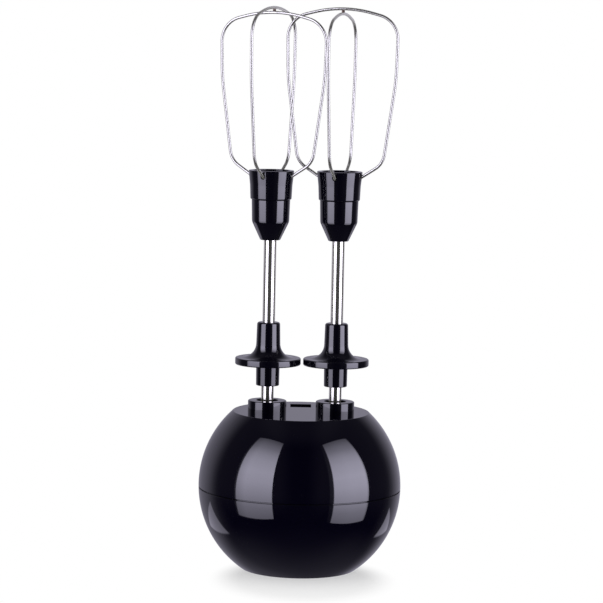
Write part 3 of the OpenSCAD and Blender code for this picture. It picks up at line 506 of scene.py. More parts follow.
def grouped(tree, group, **values):
    """Places a group in a material, reading Object coordinates."""
    spot = add_node(tree, "ShaderNodeTexCoord")
    node = tree.nodes.new("ShaderNodeGroup")
    node.node_tree = group
    tree.links.new(spot.outputs["Object"], node.inputs["Place"])
    for key, value in values.items():
        node.inputs[key.replace("_", " ")].default_value = value
    return node


def blank_material(name):
    """New material with one Principled shader."""
    material = bpy.data.materials.new(name)
    material.use_nodes = True
    tree = material.node_tree
    tree.nodes.clear()
    shader = add_node(tree, "ShaderNodeBsdfPrincipled")
    out = add_node(tree, "ShaderNodeOutputMaterial")
    join(tree, (shader, out))
    return material, tree, shader


def link_finish(tree, shader, colour, rough, pattern, depth):
    """Links colour and roughness, and a pattern's Height as a bump of the given depth in metres."""
    bump = add_node(tree, "ShaderNodeBump", Strength=1.0, Distance=depth)
    join(tree, (colour, (shader, "Base Color")), (rough, (shader, "Roughness")),
         ((pattern, "Height"), (bump, "Height")), (bump, (shader, "Normal")))


def gloss_black(name, colour, rough, wave_size, wave_height):
    """Polished black moulding with specks of dust."""
    material, tree, shader = blank_material(name)
    shader.inputs["IOR"].default_value = 1.5
    skin = grouped(tree, MOULDED_SKIN, Wave_Size=wave_size)
    tint = blend(tree, (skin, "Dust"), colour, DUST_COLOUR)
    dull = even_step(tree, (skin, "Smudge"), 0.35, 0.75, rough, rough * 1.7)
    dull_dust = maths(tree, "MULTIPLY", (skin, "Dust"), 0.3)
    roughness = maths(tree, "ADD", dull, dull_dust)
    link_finish(tree, shader, (tint, 2), roughness, skin, wave_height)
    return material


BALL_GLOSS = gloss_black("ball_gloss", (0.0007, 0.0004, 0.0034), 0.035, 0.011, 0.00001)
WHISK_GLOSS = gloss_black("whisk_gloss", (0.0014, 0.0011, 0.0036), 0.05, 0.007, 0.000008)
print("black finishes:", BALL_GLOSS.name, WHISK_GLOSS.name)

# %% [markdown]
# ## Metals
# The whisks' shafts are ground and polished bar, with very fine rings round them. Their wires are drawn,
# which leaves lines along the wire and a softer, satin shine. Inside the ball there are turned steel,
# sintered bronze and stamped aluminium. One function makes them all from a colour, a roughness and a
# direction of lines.

# %% Mix the metals


def metal(name, colour, rough, stretch, line_size, line_height, streak=0.12, metallic=1.0, uneven=0.2,
          rim=1.0):
    """Drawn or turned metal. rim multiplies its colour where it is seen at a glancing angle: a painted
    sheen on its edges, standing in for a stronger reflection there.
    """
    material, tree, shader = blank_material(name)
    shader.inputs["Metallic"].default_value = metallic
    lines = grouped(tree, FINE_LINES, Stretch=stretch, Line_Size=line_size)
    tint = blend(tree, (lines, "Streak"), [c * (1 - streak) for c in colour], colour)
    # Painted edge sheen: the colour is made up to rim times brighter towards glancing angles
    glance = add_node(tree, "ShaderNodeLayerWeight", Blend=0.5)
    painted_edge_sheen = even_step(tree, (glance, "Facing"), 0.25, 0.6, 1.0, rim)
    toned = add_node(tree, "ShaderNodeVectorMath", {"operation": "SCALE"})
    dull = even_step(tree, (lines, "Streak"), 0.3, 0.7, rough * (1 - uneven), rough * (1 + uneven))
    join(tree, ((tint, 2), toned), (painted_edge_sheen, (toned, "Scale")))
    link_finish(tree, shader, toned, dull, lines, line_height)
    return material


# rim paints a bright sheen on the edges of the bar and of the wires
BRIGHT_BAR = metal("polished_bar", (0.4, 0.395, 0.36), 0.09, (0.15, 0.15, 1.0), 0.0003, 0.00000002,
                   streak=0.03, metallic=0.88, uneven=0.03, rim=2.3)
SATIN_WIRE = metal("drawn_wire", (0.3, 0.297, 0.275), 0.15, (1.0, 1.0, 0.08), 0.0003, 0.00000002,
                   streak=0.03, metallic=0.78, uneven=0.03, rim=2.5)
TURNED_STEEL = metal("turned_steel", (0.6, 0.61, 0.63), 0.3, (0.1, 0.1, 1.0), 0.0002, 0.000003)
SINTERED_BRONZE = metal("sintered_bronze", (0.6, 0.42, 0.22), 0.45, (1, 1, 1), 0.0003, 0.00001, 0.3)
STAMPED_PLATE = metal("stamped_plate", (0.75, 0.76, 0.78), 0.35, (0.1, 1.0, 1.0), 0.0002, 0.000003)
WELD_METAL = metal("weld_metal", (0.13, 0.095, 0.08), 0.5, (1, 1, 1), 0.0004, 0.00003, 0.4)
METALS = (BRIGHT_BAR, SATIN_WIRE, TURNED_STEEL, SINTERED_BRONZE, STAMPED_PLATE, WELD_METAL)
print("metals:", [m.name for m in METALS])

# %% Mix the rubber and the natural acetal


def matt(name, colour, rough, grain_height, glow=0.0):
    """Rubber or unpolished moulding: grainy, with a little change of tone."""
    material, tree, shader = blank_material(name)
    shader.inputs["Subsurface Weight"].default_value = glow
    shader.inputs["Subsurface Radius"].default_value = (0.001, 0.001, 0.001)
    skin = grouped(tree, MOULDED_SKIN, Wave_Size=0.004, Grain_Size=0.00025)
    tint = blend(tree, (skin, "Smudge"), colour, [c * 0.8 for c in colour])
    dull = even_step(tree, (skin, "Smudge"), 0.3, 0.7, rough * 0.85, rough)
    link_finish(tree, shader, (tint, 2), dull, skin, grain_height)
    return material


SEAL_RUBBER = matt("seal_rubber", (0.012, 0.012, 0.013), 0.6, 0.00002)
ACETAL = matt("natural_acetal", (0.78, 0.77, 0.71), 0.35, 0.00001, 0.1)
print("soft finishes:", SEAL_RUBBER.name, ACETAL.name)

# %% Dress the nodes that stay as they are
SLOT_FINISH = {
    "ball_plastic": BALL_GLOSS, "whisk_plastic": WHISK_GLOSS, "chromed_steel": BRIGHT_BAR,
    "seal_rubber": SEAL_RUBBER, "bush_brass": SINTERED_BRONZE, "plate_aluminium": STAMPED_PLATE,
    "machined_steel": TURNED_STEEL, "gear_nylon": ACETAL,
}
for part in frame["record"]["subparts"]:
    node = frame["nodes"][part["node"]]
    for slot in node.material_slots:
        slot.material = SLOT_FINISH[part["material_slot"]]

# %% [markdown]
# ## Drawing a turned outline
# Nearly every part of this head is round: shells, collars, flanges, cups and shafts could all be turned
# on a lathe. So each is drawn as half of its section, corner by corner, with a rounding at each corner,
# and spun about its axis. Spinning an exact outline gives clean reflections, which a coarse mesh would
# break up.

# %% Round the corners of an outline
ARC_STEP = 9.0


def rounded(corners):
    """Points (radius, height) of an outline from its corners (radius, height, rounding)."""
    points = []
    count = len(corners)
    for i, (r, z, size) in enumerate(corners):
        here = Vector((r, z))
        before = Vector(corners[i - 1][:2]) - here
        after = Vector(corners[(i + 1) % count][:2]) - here
        if size <= 0:
            points.append((r, z))
            continue
        before.normalize()
        after.normalize()
        opening = before.angle(after)
        cut = size / math.tan(opening / 2)
        centre = here + (before + after).normalized() * (size / math.sin(opening / 2))
        first = here + before * cut - centre
        sweep = first.angle_signed(here + after * cut - centre)
        steps = max(1, math.ceil(abs(math.degrees(sweep)) / ARC_STEP))
        for k in range(steps + 1):
            turned = Matrix.Rotation(-sweep * k / steps, 2) @ first
            points.append(tuple(centre + turned))
    return points


print("a square corner rounded by 1 mm has", len(rounded([(0, 0, 0), (5, 0, 1), (5, 5, 0)])) - 2, "points")

# %% Spin an outline into a solid


def solid(name, mesh):
    """Object from a bmesh, with its faces outward."""
    bmesh.ops.recalc_face_normals(mesh, faces=mesh.faces)
    data = bpy.data.meshes.new(name)
    mesh.to_mesh(data)
    mesh.free()
    return place(name, data)


def spin(name, outline, x=0.0, segments=128):
    """Closed outline (radius, height) in millimetres, spun about the axis at x. Radius 0 gives a pole."""
    mesh = bmesh.new()
    rings = []
    for r, z in outline:
        turns = [2 * math.pi * k / segments for k in range(segments if r > 1e-6 else 1)]
        rings.append([mesh.verts.new(((x + r * math.cos(a)) * MM, r * math.sin(a) * MM, z * MM))
                      for a in turns])
    for i, ring in enumerate(rings):
        other = rings[(i + 1) % len(rings)]
        if len(ring) == 1 and len(other) == 1:
            continue
        for k in range(segments):
            j = (k + 1) % segments
            corners = [ends[n % len(ends)] for ends, n in ((ring, k), (ring, j), (other, j), (other, k))]
            mesh.faces.new(list(dict.fromkeys(corners)))
    return solid(name, mesh)


print("spinning tool ready")

# %% [markdown]
# ## Cutting and joining
# Holes, recesses and bosses are cut or added with exact booleans, as a moulder's tool would leave them.
# After that the faces are shaded smooth, except at real edges: where two faces meet at a clear angle, and
# wherever a flat face begins, so that a flat stays flat in a reflection.

# %% Cut, join and shade


def keep_result(piece):
    """Turns what a piece's modifiers make into its plain mesh and removes them."""
    result = bpy.data.meshes.new_from_object(piece.evaluated_get(bpy.context.evaluated_depsgraph_get()))
    piece.modifiers.clear()
    old = piece.data
    piece.data = result
    bpy.data.meshes.remove(old)


def combine(piece, others, operation):
    """Exact boolean of a piece with others, which are used up."""
    for other in others:
        step = piece.modifiers.new("step", "BOOLEAN")
        step.solver = "EXACT"
        step.operation = operation
        step.object = other
    bpy.context.view_layer.update()
    keep_result(piece)
    for other in others:
        bpy.data.objects.remove(other)
    return piece


def shade_edges(piece, angle=26.0):
    """Outward, smooth faces with sharp edges at the given angle and round every level face."""
    mesh = bmesh.new()
    mesh.from_mesh(piece.data)
    bmesh.ops.remove_doubles(mesh, verts=mesh.verts, dist=1e-7)
    bmesh.ops.recalc_face_normals(mesh, faces=mesh.faces)
    limit = math.radians(angle)
    for face in mesh.faces:
        face.smooth = True
    for edge in mesh.edges:
        if len(edge.link_faces) != 2:
            edge.smooth = False
            continue
        a, b = (face.normal for face in edge.link_faces)
        level_a, level_b = abs(a.z) > 0.99999, abs(b.z) > 0.99999
        edge.smooth = a.angle(b, 0.0) < limit and level_a == level_b
    mesh.to_mesh(piece.data)
    mesh.free()


def finish_piece(piece, body, slot, *nodes, material=None):
    """Shades a piece, gives it a material or its slot's own, puts it on its body and hides the nodes it
    stands for.
    """
    shade_edges(piece)
    piece.data.materials.clear()
    piece.data.materials.append(material or SLOT_FINISH[slot])
    for face in piece.data.polygons:
        face.material_index = 0
    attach(piece, body)
    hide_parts(*nodes)
    print(piece.name, "on", body, "-", sum(len(p.vertices) - 2 for p in piece.data.polygons), "triangles")


def block(name, low, high, turn=0.0, x=0.0):
    """Box cutter or boss between two corners, in millimetres, turned about the axis at x."""
    corners = [(a, b, c) for a in (low[0], high[0]) for b in (low[1], high[1]) for c in (low[2], high[2])]
    data = bpy.data.meshes.new(name)
    data.from_pydata(corners, [], [(0, 1, 3, 2), (4, 6, 7, 5), (0, 4, 5, 1), (2, 3, 7, 6), (0, 2, 6, 4),
                                   (1, 5, 7, 3)])
    data.transform(Matrix.Translation((x * MM, 0, 0)) @ Matrix.Rotation(math.radians(turn), 4, "Z")
                   @ Matrix.Diagonal((MM, MM, MM, 1)))
    return place(name, data)


print("cutting tools ready")

# %% [markdown]
# ## The upper shell
# The upper half of the ball is one moulding: a spherical wall from the seam to the flat deck, a collar
# round each whisk, and a shallow recess behind them. The sphere is drawn in steps of one degree, so its
# outline and its reflections stay round. A small rounding runs round the deck, and the seam's edge is
# broken.

# %% Spin the upper shell
SHELL_WALL = 2.2
DECK_WALL = 2.5
SEAM_GAP = 0.5
SEAM_BREAK = 0.18
LAP_R = 48.85
LAP_T = 1.0
LAP_H = 2.0
LAP_SEAT = 3.0
LAP_SLOPE = 0.3
LAP_PLAY = 0.1
DECK_ROUND = 0.5
SPHERE_STEP = 1.0
EDGE_STEPS = 8


def sphere_arc(radius, low, high):
    """Points on the ball's section between two heights, going up."""
    first = math.degrees(math.asin((low - BALL_Z) / radius))
    last = math.degrees(math.asin((high - BALL_Z) / radius))
    steps = math.ceil((last - first) / SPHERE_STEP)
    angles = [math.radians(first + (last - first) * k / steps) for k in range(steps + 1)]
    return [(radius * math.cos(a), BALL_Z + radius * math.sin(a)) for a in angles]


def edge_arc(radius, size, level_z, upwards):
    """Rounding between the ball's skin and a level face at level_z, going up the section."""
    z = level_z - size if upwards else level_z + size
    r = math.sqrt((radius - size) ** 2 - (z - BALL_Z) ** 2)
    touch = math.atan2(z - BALL_Z, r)
    end = math.pi / 2 if upwards else -math.pi / 2
    angles = [touch + (end - touch) * k / EDGE_STEPS for k in range(EDGE_STEPS + 1)]
    arc = [(r + size * math.cos(a), z + size * math.sin(a)) for a in angles]
    return arc if upwards else arc[::-1]


def upper_shell():
    """Section of the upper half, from the seam over the deck and back along the inside."""
    seam = SEAM_Z + SEAM_GAP / 2
    rebate = SEAM_Z + LAP_H + LAP_PLAY
    deck_edge = edge_arc(BALL_R, DECK_ROUND, DECK_Z, True)
    skin = sphere_arc(BALL_R, seam + SEAM_BREAK, deck_edge[0][1])
    inside = sphere_arc(BALL_R - SHELL_WALL, rebate, DECK_Z - DECK_WALL)
    outline = [(BALL_R - SEAM_BREAK, seam), *skin, *deck_edge[1:], (0, DECK_Z), (0, DECK_Z - DECK_WALL),
               *inside[::-1], (LAP_R + LAP_PLAY, rebate), (LAP_R + LAP_PLAY, seam)]
    return spin("ball_top", outline, segments=256)


ball_top = upper_shell()
print("upper shell spun,", len(ball_top.data.polygons), "faces")

# %% Add the collars and cut the recess
COLLAR_R = 9.5
COLLAR_BORE_R = 5.35
BUSH_R = 6.5
LIP_H = 4.2
BOSS_H = 8.0
RECESS_W = 10.4
RECESS_L = 11.0
RECESS_BACK = 19.0
RECESS_DEPTH = 1.2
# How far a cutter runs past the face that it opens
OVERCUT = 1.0


def tube_outline(inner, outer, low, high):
    """Section of a tube, or of a rod where inner is 0."""
    return [(inner, low), (outer, low), (outer, high), (inner, high)]


def collar(x):
    """Collar with a rounded rim, and the bearing boss below it."""
    boss_low = DECK_Z - DECK_WALL - BOSS_H
    corners = [(COLLAR_BORE_R, COLLAR_TOP, 0.35), (COLLAR_R, COLLAR_TOP, 0.55), (COLLAR_R, DECK_Z, 0.0),
               (COLLAR_R, boss_low, 0.3), (BUSH_R, boss_low, 0.0), (BUSH_R, COLLAR_TOP - LIP_H, 0.0),
               (COLLAR_BORE_R, COLLAR_TOP - LIP_H, 0.0)]
    return spin("collar", rounded(corners), x=x, segments=160)


def collar_opening(x):
    """Clears the deck inside a collar."""
    outline = tube_outline(0, (COLLAR_BORE_R + COLLAR_R) / 2, DECK_Z - DECK_WALL - OVERCUT,
                           DECK_Z + OVERCUT)
    return spin("opening", outline, x=x, segments=96)


combine(ball_top, [collar_opening(axis_of(side)) for side in SIDES], "DIFFERENCE")
combine(ball_top, [collar(axis_of(side)) for side in SIDES], "UNION")
recess = block("recess", (-RECESS_W / 2, RECESS_BACK - RECESS_L / 2, DECK_Z - RECESS_DEPTH),
               (RECESS_W / 2, RECESS_BACK + RECESS_L / 2, DECK_Z + OVERCUT))
combine(ball_top, [recess], "DIFFERENCE")
finish_piece(ball_top, "housing", "ball_plastic", "upper_shell")

# %% [markdown]
# ## The lower shell
# The lower half carries the socket for the motor handle. Seen from below it is the busiest piece: a round
# socket with two latch recesses, a roof with a tunnel for the drive coupling, and three wells for the
# screws that hold the shells together.

# %% Spin the lower shell
SOCKET_R = FOOT_R - 4.3
SOCKET_DEPTH = 14.0
SOCKET_WALL = 2.2
ROOF_T = 3.5
TUNNEL_R = 9.2
TUNNEL_WALL = 1.8
TUNNEL_TOP = level("drive_coupling", 1) - 0.6
FOOT_ROUND = 0.7


def lower_shell():
    """Section of the lower half, from the socket along the inside to the tongue and down the outside."""
    foot_edge = edge_arc(BALL_R, FOOT_ROUND, 0.0, False)
    seam = SEAM_Z - SEAM_GAP / 2
    skin = sphere_arc(BALL_R, foot_edge[-1][1], seam - SEAM_BREAK)
    inner_r = BALL_R - SHELL_WALL
    low = BALL_Z - math.sqrt(inner_r ** 2 - (SOCKET_R + SOCKET_WALL) ** 2)
    inside = sphere_arc(inner_r, low, SEAM_Z - LAP_SEAT)
    tongue = [(LAP_R - LAP_T, SEAM_Z - LAP_SEAT + LAP_SLOPE), (LAP_R - LAP_T, SEAM_Z + LAP_H),
              (LAP_R, SEAM_Z + LAP_H), (LAP_R, seam)]
    roof = SOCKET_DEPTH + ROOF_T
    socket = rounded([(SOCKET_R, 0.0, 0.5), (SOCKET_R, SOCKET_DEPTH, 0.4), (TUNNEL_R, SOCKET_DEPTH, 0.3),
                      (TUNNEL_R, TUNNEL_TOP, 0.0), (TUNNEL_R + TUNNEL_WALL, TUNNEL_TOP, 0.0),
                      (TUNNEL_R + TUNNEL_WALL, roof, 0.0), (SOCKET_R + SOCKET_WALL, roof, 0.0),
                      (SOCKET_R + SOCKET_WALL, low, 0.0)])
    outline = [*socket[:-1], *inside, *tongue, (BALL_R - SEAM_BREAK, seam), *skin[::-1],
               *foot_edge[::-1][1:]]
    return spin("ball_base", outline, segments=256)


ball_base = lower_shell()
print("lower shell spun,", len(ball_base.data.polygons), "faces")

# %% Cut the latch recesses and the screw wells
LATCH_Z = 5.0
LATCH_H = 4.0
LATCH_DEPTH = 1.2
LATCH_SPAN = 30.0
WELL_AT = SOCKET_R * 0.75
WELL_R = 3.1
WELL_ANGLES = (30, 150, 270)
WELL_WALL = 0.9
WELL_SEAT = 1.0
WELL_TOP = level("base_screws", 0) + 1.8


def ring_sector(name, inner, outer, low, high, start, span):
    """Curved block between two radii, heights and angles."""
    steps = 16
    mesh = bmesh.new()
    walls = []
    for k in range(steps + 1):
        a = math.radians(start + span * k / steps)
        walls.append([mesh.verts.new((r * math.cos(a) * MM, r * math.sin(a) * MM, z * MM))
                      for r, z in tube_outline(inner, outer, low, high)])
    for first, second in zip(walls, walls[1:]):
        for i in range(4):
            j = (i + 1) % 4
            mesh.faces.new((first[i], first[j], second[j], second[i]))
    mesh.faces.new(walls[0][::-1])
    mesh.faces.new(walls[-1])
    return solid(name, mesh)


def at_screws(name, outline):
    """One spun piece at each screw's place."""
    made = [spin(name, outline, segments=48) for _ in WELL_ANGLES]
    for piece, angle in zip(made, WELL_ANGLES):
        a = math.radians(angle)
        place_at = (WELL_AT * math.cos(a) * MM, WELL_AT * math.sin(a) * MM, 0)
        piece.data.transform(Matrix.Translation(place_at))
    return made


wells = at_screws("well", tube_outline(WELL_R, WELL_R + WELL_WALL, SOCKET_DEPTH + 0.2, WELL_TOP))
combine(ball_base, wells, "UNION")
holes = at_screws("hole", tube_outline(0, WELL_R, SOCKET_DEPTH - OVERCUT, WELL_TOP - WELL_SEAT))
latches = [ring_sector("latch", SOCKET_R - OVERCUT, SOCKET_R + LATCH_DEPTH, LATCH_Z, LATCH_Z + LATCH_H,
                       b - LATCH_SPAN / 2, LATCH_SPAN) for b in (90, 270)]
combine(ball_base, holes + latches, "DIFFERENCE")
finish_piece(ball_base, "housing", "ball_plastic", "lower_shell")

# %% [markdown]
# ## The finger flanges
# Each whisk is pushed in and pulled out by a thin round flange on a sleeve. A wide concave fillet leads
# from the sleeve into the flange, and the sleeve's ends are softly rounded. The flange's edge is nearly
# square, which is why it catches the soft boxes as two bright rectangles.

# %% Spin the flange hubs
SHAFT_R = 3.1
SHAFT_HOLE_R = SHAFT_R + 0.02
SLEEVE_R = 5.8
FLANGE_R = 16.2
FLANGE_RISE = 10.4
FLANGE_T = 3.4
NECK_R = 6.1


def flange_hub(side):
    """Sleeve with its round flange."""
    low = HUB_Z + FLANGE_RISE
    high = low + FLANGE_T
    corners = [(SHAFT_HOLE_R, HUB_Z, 0.0), (SLEEVE_R - 0.1, HUB_Z, 0.4), (SLEEVE_R, low, 0.25),
               (FLANGE_R, low, 0.6), (FLANGE_R, high, 0.6), (NECK_R, high, 7.0),
               (NECK_R - 0.45, HUB_TOP, 1.1), (SHAFT_HOLE_R, HUB_TOP, 0.0)]
    return spin(side + "_finger_flange", rounded(corners), x=axis_of(side), segments=192)


for side in SIDES:
    finish_piece(flange_hub(side), side + "_whisk", "whisk_plastic", side + "_flange_hub")

# %% [markdown]
# ## The cups
# A cup holds the wires' ends. Its body tapers down to the shaft, and a separate ring sits on it with a
# fine step between the two. Each wire enters the ring through a sloping hole just under the rim.

# %% Spin the cup bodies
CUP_R = 9.45
CUP_FOOT_R = 4.9
CONE_L = 9.0
RIM_R = 11.3
RING_WALL = 2.4
PLUG_R = RIM_R - RING_WALL - 1.0
PLUG_FOOT_Z = RING_Z - 6.5


def cup_body(side):
    """Tapered body, hollow at the top for the plug."""
    corners = [(SHAFT_HOLE_R, CUP_Z, 0.0), (CUP_FOOT_R, CUP_Z, 0.5), (CUP_R - 0.3, CUP_Z + CONE_L, 4.0),
               (CUP_R, RING_Z, 0.3), (PLUG_R, RING_Z, 0.0), (PLUG_R, PLUG_FOOT_Z, 0.0),
               (SHAFT_HOLE_R, PLUG_FOOT_Z, 0.0)]
    return spin(side + "_cup_body", rounded(corners), x=axis_of(side), segments=160)


for side in SIDES:
    finish_piece(cup_body(side), side + "_whisk", "whisk_plastic", side + "_cup")

# %% [markdown]
# ## The wires' line
# A loop is bent from one wire: out of the cup's hole, round a tight knee, up a long side that bulges a
# little, round the shoulder and over the tip. The line is a handful of corners, each with its own bend.
# Two loops cross at the tip, one just over the other, where a spot weld joins them.

# %% List a loop's corners
WIRE_D = 1.5
LOOP_R = 27.8
LOOP_L = 78.1
WIRE_END_R = 5.5
BENDS = (0.0, 10.0, 120.0, 12.0, 60.0)
OUTER_STEP = 2.4
KNEE_IN = 6.3
KNEE_RISE = 4.3
HOLE_DROP = 2.3
BULGE = 0.6
BULGE_SHARE = 0.58
CROWN_RISE = 0.75
SHOULDER_DROP = 6.4
CROWN_SLOPE = math.atan((CROWN_RISE + SHOULDER_DROP) / LOOP_R)
CROWN_Z = level("left_inner_loop", 1) - WIRE_D / 2
CROWN_CORNER = CROWN_Z + BENDS[-1] * (1 / math.cos(CROWN_SLOPE) - 1)


def half_loop(step):
    """Corners (radius, height) of half a loop, from its end in the cup to its tip."""
    knee = Vector((LOOP_R - KNEE_IN, RIM_Z + KNEE_RISE))
    slope = (knee - Vector((RIM_R, RIM_Z - HOLE_DROP))).normalized()
    end = knee - slope * ((knee.x - WIRE_END_R) / slope.x)
    return [tuple(end), tuple(knee), (LOOP_R - BULGE, RIM_Z + LOOP_L * BULGE_SHARE),
            (LOOP_R, CROWN_CORNER - CROWN_RISE - SHOULDER_DROP + step), (0.0, CROWN_CORNER + step)]


def whole_loop(step):
    """Corners and bends of a whole loop."""
    half = half_loop(step)
    return half + [(-r, z) for r, z in half[-2::-1]], list(BENDS) + list(BENDS[-2::-1])


print("a loop has", len(whole_loop(0)[0]), "corners, from", [round(v, 1) for v in whole_loop(0)[0][0]])

# %% [markdown]
# ## The rings and their wire holes
# The ring flares to a thin rim. Four holes slope up through its wall, one for each wire's end, and each
# is a millimetre wider than the wire, so that a dark line shows round it.

# %% Spin the rings and drill the wire holes
# Keeps the rim off the other whisk's wire when one whisk is lifted out
RIM_PLAY = 0.12
HOLE_PLAY = 0.5
WAIST = (CUP_R + 0.95, RING_Z + 7.15, 14.0)
PLUG_DROP = 1.2
PLUG_DISH = 0.15
PLUG_FIT = 0.02


def rod_between(name, a, b, radius, segments=32):
    """Straight round rod between two points in millimetres."""
    start, end = Vector(a), Vector(b)
    rod = spin(name, tube_outline(0, radius, 0, (end - start).length), segments=segments)
    turn = (end - start).to_track_quat("Z", "Y").to_matrix().to_4x4()
    rod.data.transform(Matrix.Translation(start * MM) @ turn)
    return rod


def loop_bearings(side):
    """Bearing of the outer loop's plane and of the inner one's, in degrees."""
    first = WHISK_TURN[side] - 90
    return (first, first + 90) if side == "left" else (first + 90, first)


def cup_ring(side):
    """Ring with a sharp lower step, a slight waist and a thin rim, drilled for the four wires."""
    corners = [(RIM_R - RING_WALL, RING_Z, 0.0), (CUP_R + 0.65, RING_Z, 0.8), WAIST,
               (RIM_R - RIM_PLAY, RIM_Z, 0.4), (RIM_R - RING_WALL, RIM_Z, 0.5)]
    x = axis_of(side)
    ring = spin(side + "_rim_ring", rounded(corners), x=x, segments=160)
    (end_r, end_z), (knee_r, knee_z) = half_loop(0)[:2]
    drills = []
    for bearing in loop_bearings(side):
        for turn in (0, 180):
            a = math.radians(bearing + turn)
            drills.append(rod_between("drill", (x + end_r * math.cos(a), end_r * math.sin(a), end_z),
                                      (x + knee_r * math.cos(a), knee_r * math.sin(a), knee_z),
                                      WIRE_D / 2 + HOLE_PLAY))
    return combine(ring, drills, "DIFFERENCE")


def wire_plug(side):
    """Plug that closes the ring; its top is a little dished."""
    top = RIM_Z - PLUG_DROP
    wide = RIM_R - RING_WALL - PLUG_FIT
    shoulder = RING_Z + PLUG_FIT
    corners = [(0, PLUG_FOOT_Z, 0.0), (PLUG_R, PLUG_FOOT_Z, 0.2), (PLUG_R, shoulder, 0.0),
               (wide, shoulder, 0.0), (wide, top, 0.3), (4.0, top - PLUG_DISH, 2.0),
               (0, top - PLUG_DISH, 0.0)]
    return spin(side + "_ring_plug", rounded(corners), x=axis_of(side), segments=128)


for side in SIDES:
    finish_piece(cup_ring(side), side + "_whisk", "whisk_plastic", side + "_cup_ring")
    finish_piece(wire_plug(side), side + "_whisk", "whisk_plastic", side + "_wire_plug")

# %% [markdown]
# ## The shafts
# The shaft is a ground bar with a milled square tail that the spindle drives. Between the sleeve and the
# cup it is bare, and there it mirrors the soft boxes as two bright lines beside a dark one.

# %% Spin the shafts and add their square tails
TAIL_SIDE = 4.092
TAIL_L = 6.0


def whisk_shaft(side):
    """Round bar on a square tail."""
    low = level(side + "_whisk_shaft", 0)
    high = level(side + "_whisk_shaft", 1)
    x = axis_of(side)
    corners = [(0, low + TAIL_L, 0), (SHAFT_R, low + TAIL_L, 0.3), (SHAFT_R, high, 0.3), (0, high, 0)]
    bar = spin(side + "_polished_shaft", rounded(corners), x=x, segments=96)
    half = TAIL_SIDE / 2
    tail = block("tail", (-half, -half, low), (half, half, low + TAIL_L + 1), WHISK_TURN[side], x)
    return combine(bar, [tail], "UNION")


for side in SIDES:
    finish_piece(whisk_shaft(side), side + "_whisk", "chromed_steel", side + "_whisk_shaft")

# %% [markdown]
# ## Bending the wires in a node tree
# A Geometry Nodes tree does what a wire bender does. It takes the loop's corners as a plain chain of
# points, each of which carries its bend radius, turns the chain into a curve, rounds each corner by its
# own radius, and pushes a round section along it. The wire's diameter is a named input, so a heavier
# whisk is one number away.

# %% Build the wire-bending tree


def wire_tree():
    """Tree that bends a chain of corners into round wire."""
    tree, given, result = new_group(
        "bend_wire",
        [("Geometry", "Geometry", None), ("Wire Diameter", "Float", 0.0015), ("Bend Steps", "Int", 14),
         ("Sides", "Int", 24), ("Finish", "Material", None)],
        [("Geometry", "Geometry")], "GeometryNodeTree")
    bend = add_node(tree, "GeometryNodeInputNamedAttribute", {"data_type": "FLOAT"}, Name="bend")
    chain = add_node(tree, "GeometryNodeMeshToCurve")
    fillet = add_node(tree, "GeometryNodeFilletCurve", {"mode": "POLY"})
    section = add_node(tree, "GeometryNodeCurvePrimitiveCircle", {"mode": "RADIUS"})
    half = maths(tree, "MULTIPLY", (given, "Wire Diameter"), 0.5)
    sweep = add_node(tree, "GeometryNodeCurveToMesh", Fill_Caps=True)
    smooth = add_node(tree, "GeometryNodeSetShadeSmooth")
    real = add_node(tree, "GeometryNodeRealizeInstances")
    finish = add_node(tree, "GeometryNodeSetMaterial")
    join(tree, ((given, "Geometry"), chain), (chain, (fillet, "Curve")),
         (bend, (fillet, "Radius")), ((given, "Bend Steps"), (fillet, "Count")),
         ((given, "Sides"), (section, "Resolution")), (half, (section, "Radius")),
         (fillet, (sweep, "Curve")), (section, (sweep, "Profile Curve")),
         (sweep, smooth), (smooth, real), (real, (finish, "Geometry")),
         ((given, "Finish"), (finish, "Material")), (finish, result))
    return tree


BEND_WIRE = wire_tree()
print("tree", BEND_WIRE.name, "has", len(BEND_WIRE.nodes), "nodes")

# %% Bend the four loops


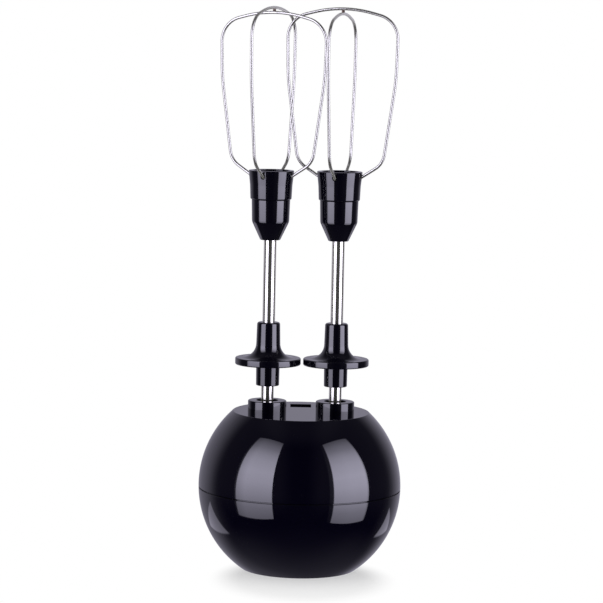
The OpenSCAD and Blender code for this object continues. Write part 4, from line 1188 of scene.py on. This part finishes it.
def grow(name, mesh, tree, **values):
    """Runs a tree on a mesh, with its inputs by name, and keeps the result as a plain mesh."""
    sockets = {s.name: s.identifier for s in tree.interface.items_tree if s.in_out == "INPUT"}
    seed = place(name, mesh)
    run = seed.modifiers.new("grow", "NODES")
    run.node_group = tree
    for label, value in values.items():
        run[sockets[label.replace("_", " ")]] = value
    bpy.context.view_layer.update()
    keep_result(seed)
    return seed


def loop_chain(side):
    """Corners of a whisk's two loops as one mesh of two chains, with a bend on each point."""
    points, edges, bends = [], [], []
    x = axis_of(side)
    for bearing, step in zip(loop_bearings(side), (OUTER_STEP, 0.0)):
        corners, radii = whole_loop(step)
        a = math.radians(bearing)
        first = len(points)
        points += [((x + r * math.cos(a)) * MM, r * math.sin(a) * MM, z * MM) for r, z in corners]
        edges += [(first + i, first + i + 1) for i in range(len(corners) - 1)]
        bends += [value * MM for value in radii]
    chain = bpy.data.meshes.new(side + "_wires")
    chain.from_pydata(points, edges, [])
    chain.attributes.new("bend", "FLOAT", "POINT").data.foreach_set("value", bends)
    return chain


for side in SIDES:
    wires = grow(side + "_wires", loop_chain(side), BEND_WIRE, Wire_Diameter=WIRE_D * MM, Bend_Steps=14,
                 Sides=24, Finish=SATIN_WIRE)
    finish_piece(wires, side + "_whisk", "chromed_steel", side + "_outer_loop", side + "_inner_loop",
                 material=SATIN_WIRE)

# %% [markdown]
# ## The weld at the tip
# Where two loops cross, a spot weld joins them. It shows as a small, slightly uneven bead, darker than
# the wires.

# %% Weld the tips
BEAD_R = 0.8
BEAD_TALL = 1.05


def weld_bead(side):
    """Small ball with a ripple, between the two crossing wires."""
    middle = CROWN_Z + OUTER_STEP / 2
    bead = bmesh.new()
    bmesh.ops.create_icosphere(bead, subdivisions=4, radius=1.0)
    for vert in bead.verts:
        d = vert.co.normalized()
        ripple = (1 + 0.06 * math.sin(5 * d.x + 2) * math.sin(4 * d.y + 1)
                  + 0.03 * math.sin(9 * d.z + 4 * d.x))
        vert.co = Vector((axis_of(side) + d.x * BEAD_R * ripple, d.y * BEAD_R * ripple,
                          middle + d.z * BEAD_R * BEAD_TALL * ripple)) * MM
    return solid(side + "_weld_bead", bead)


for side in SIDES:
    finish_piece(weld_bead(side), side + "_whisk", "chromed_steel", side + "_tip_weld", material=WELD_METAL)

# %% [markdown]
# The visual has to stay inside the model's own box.
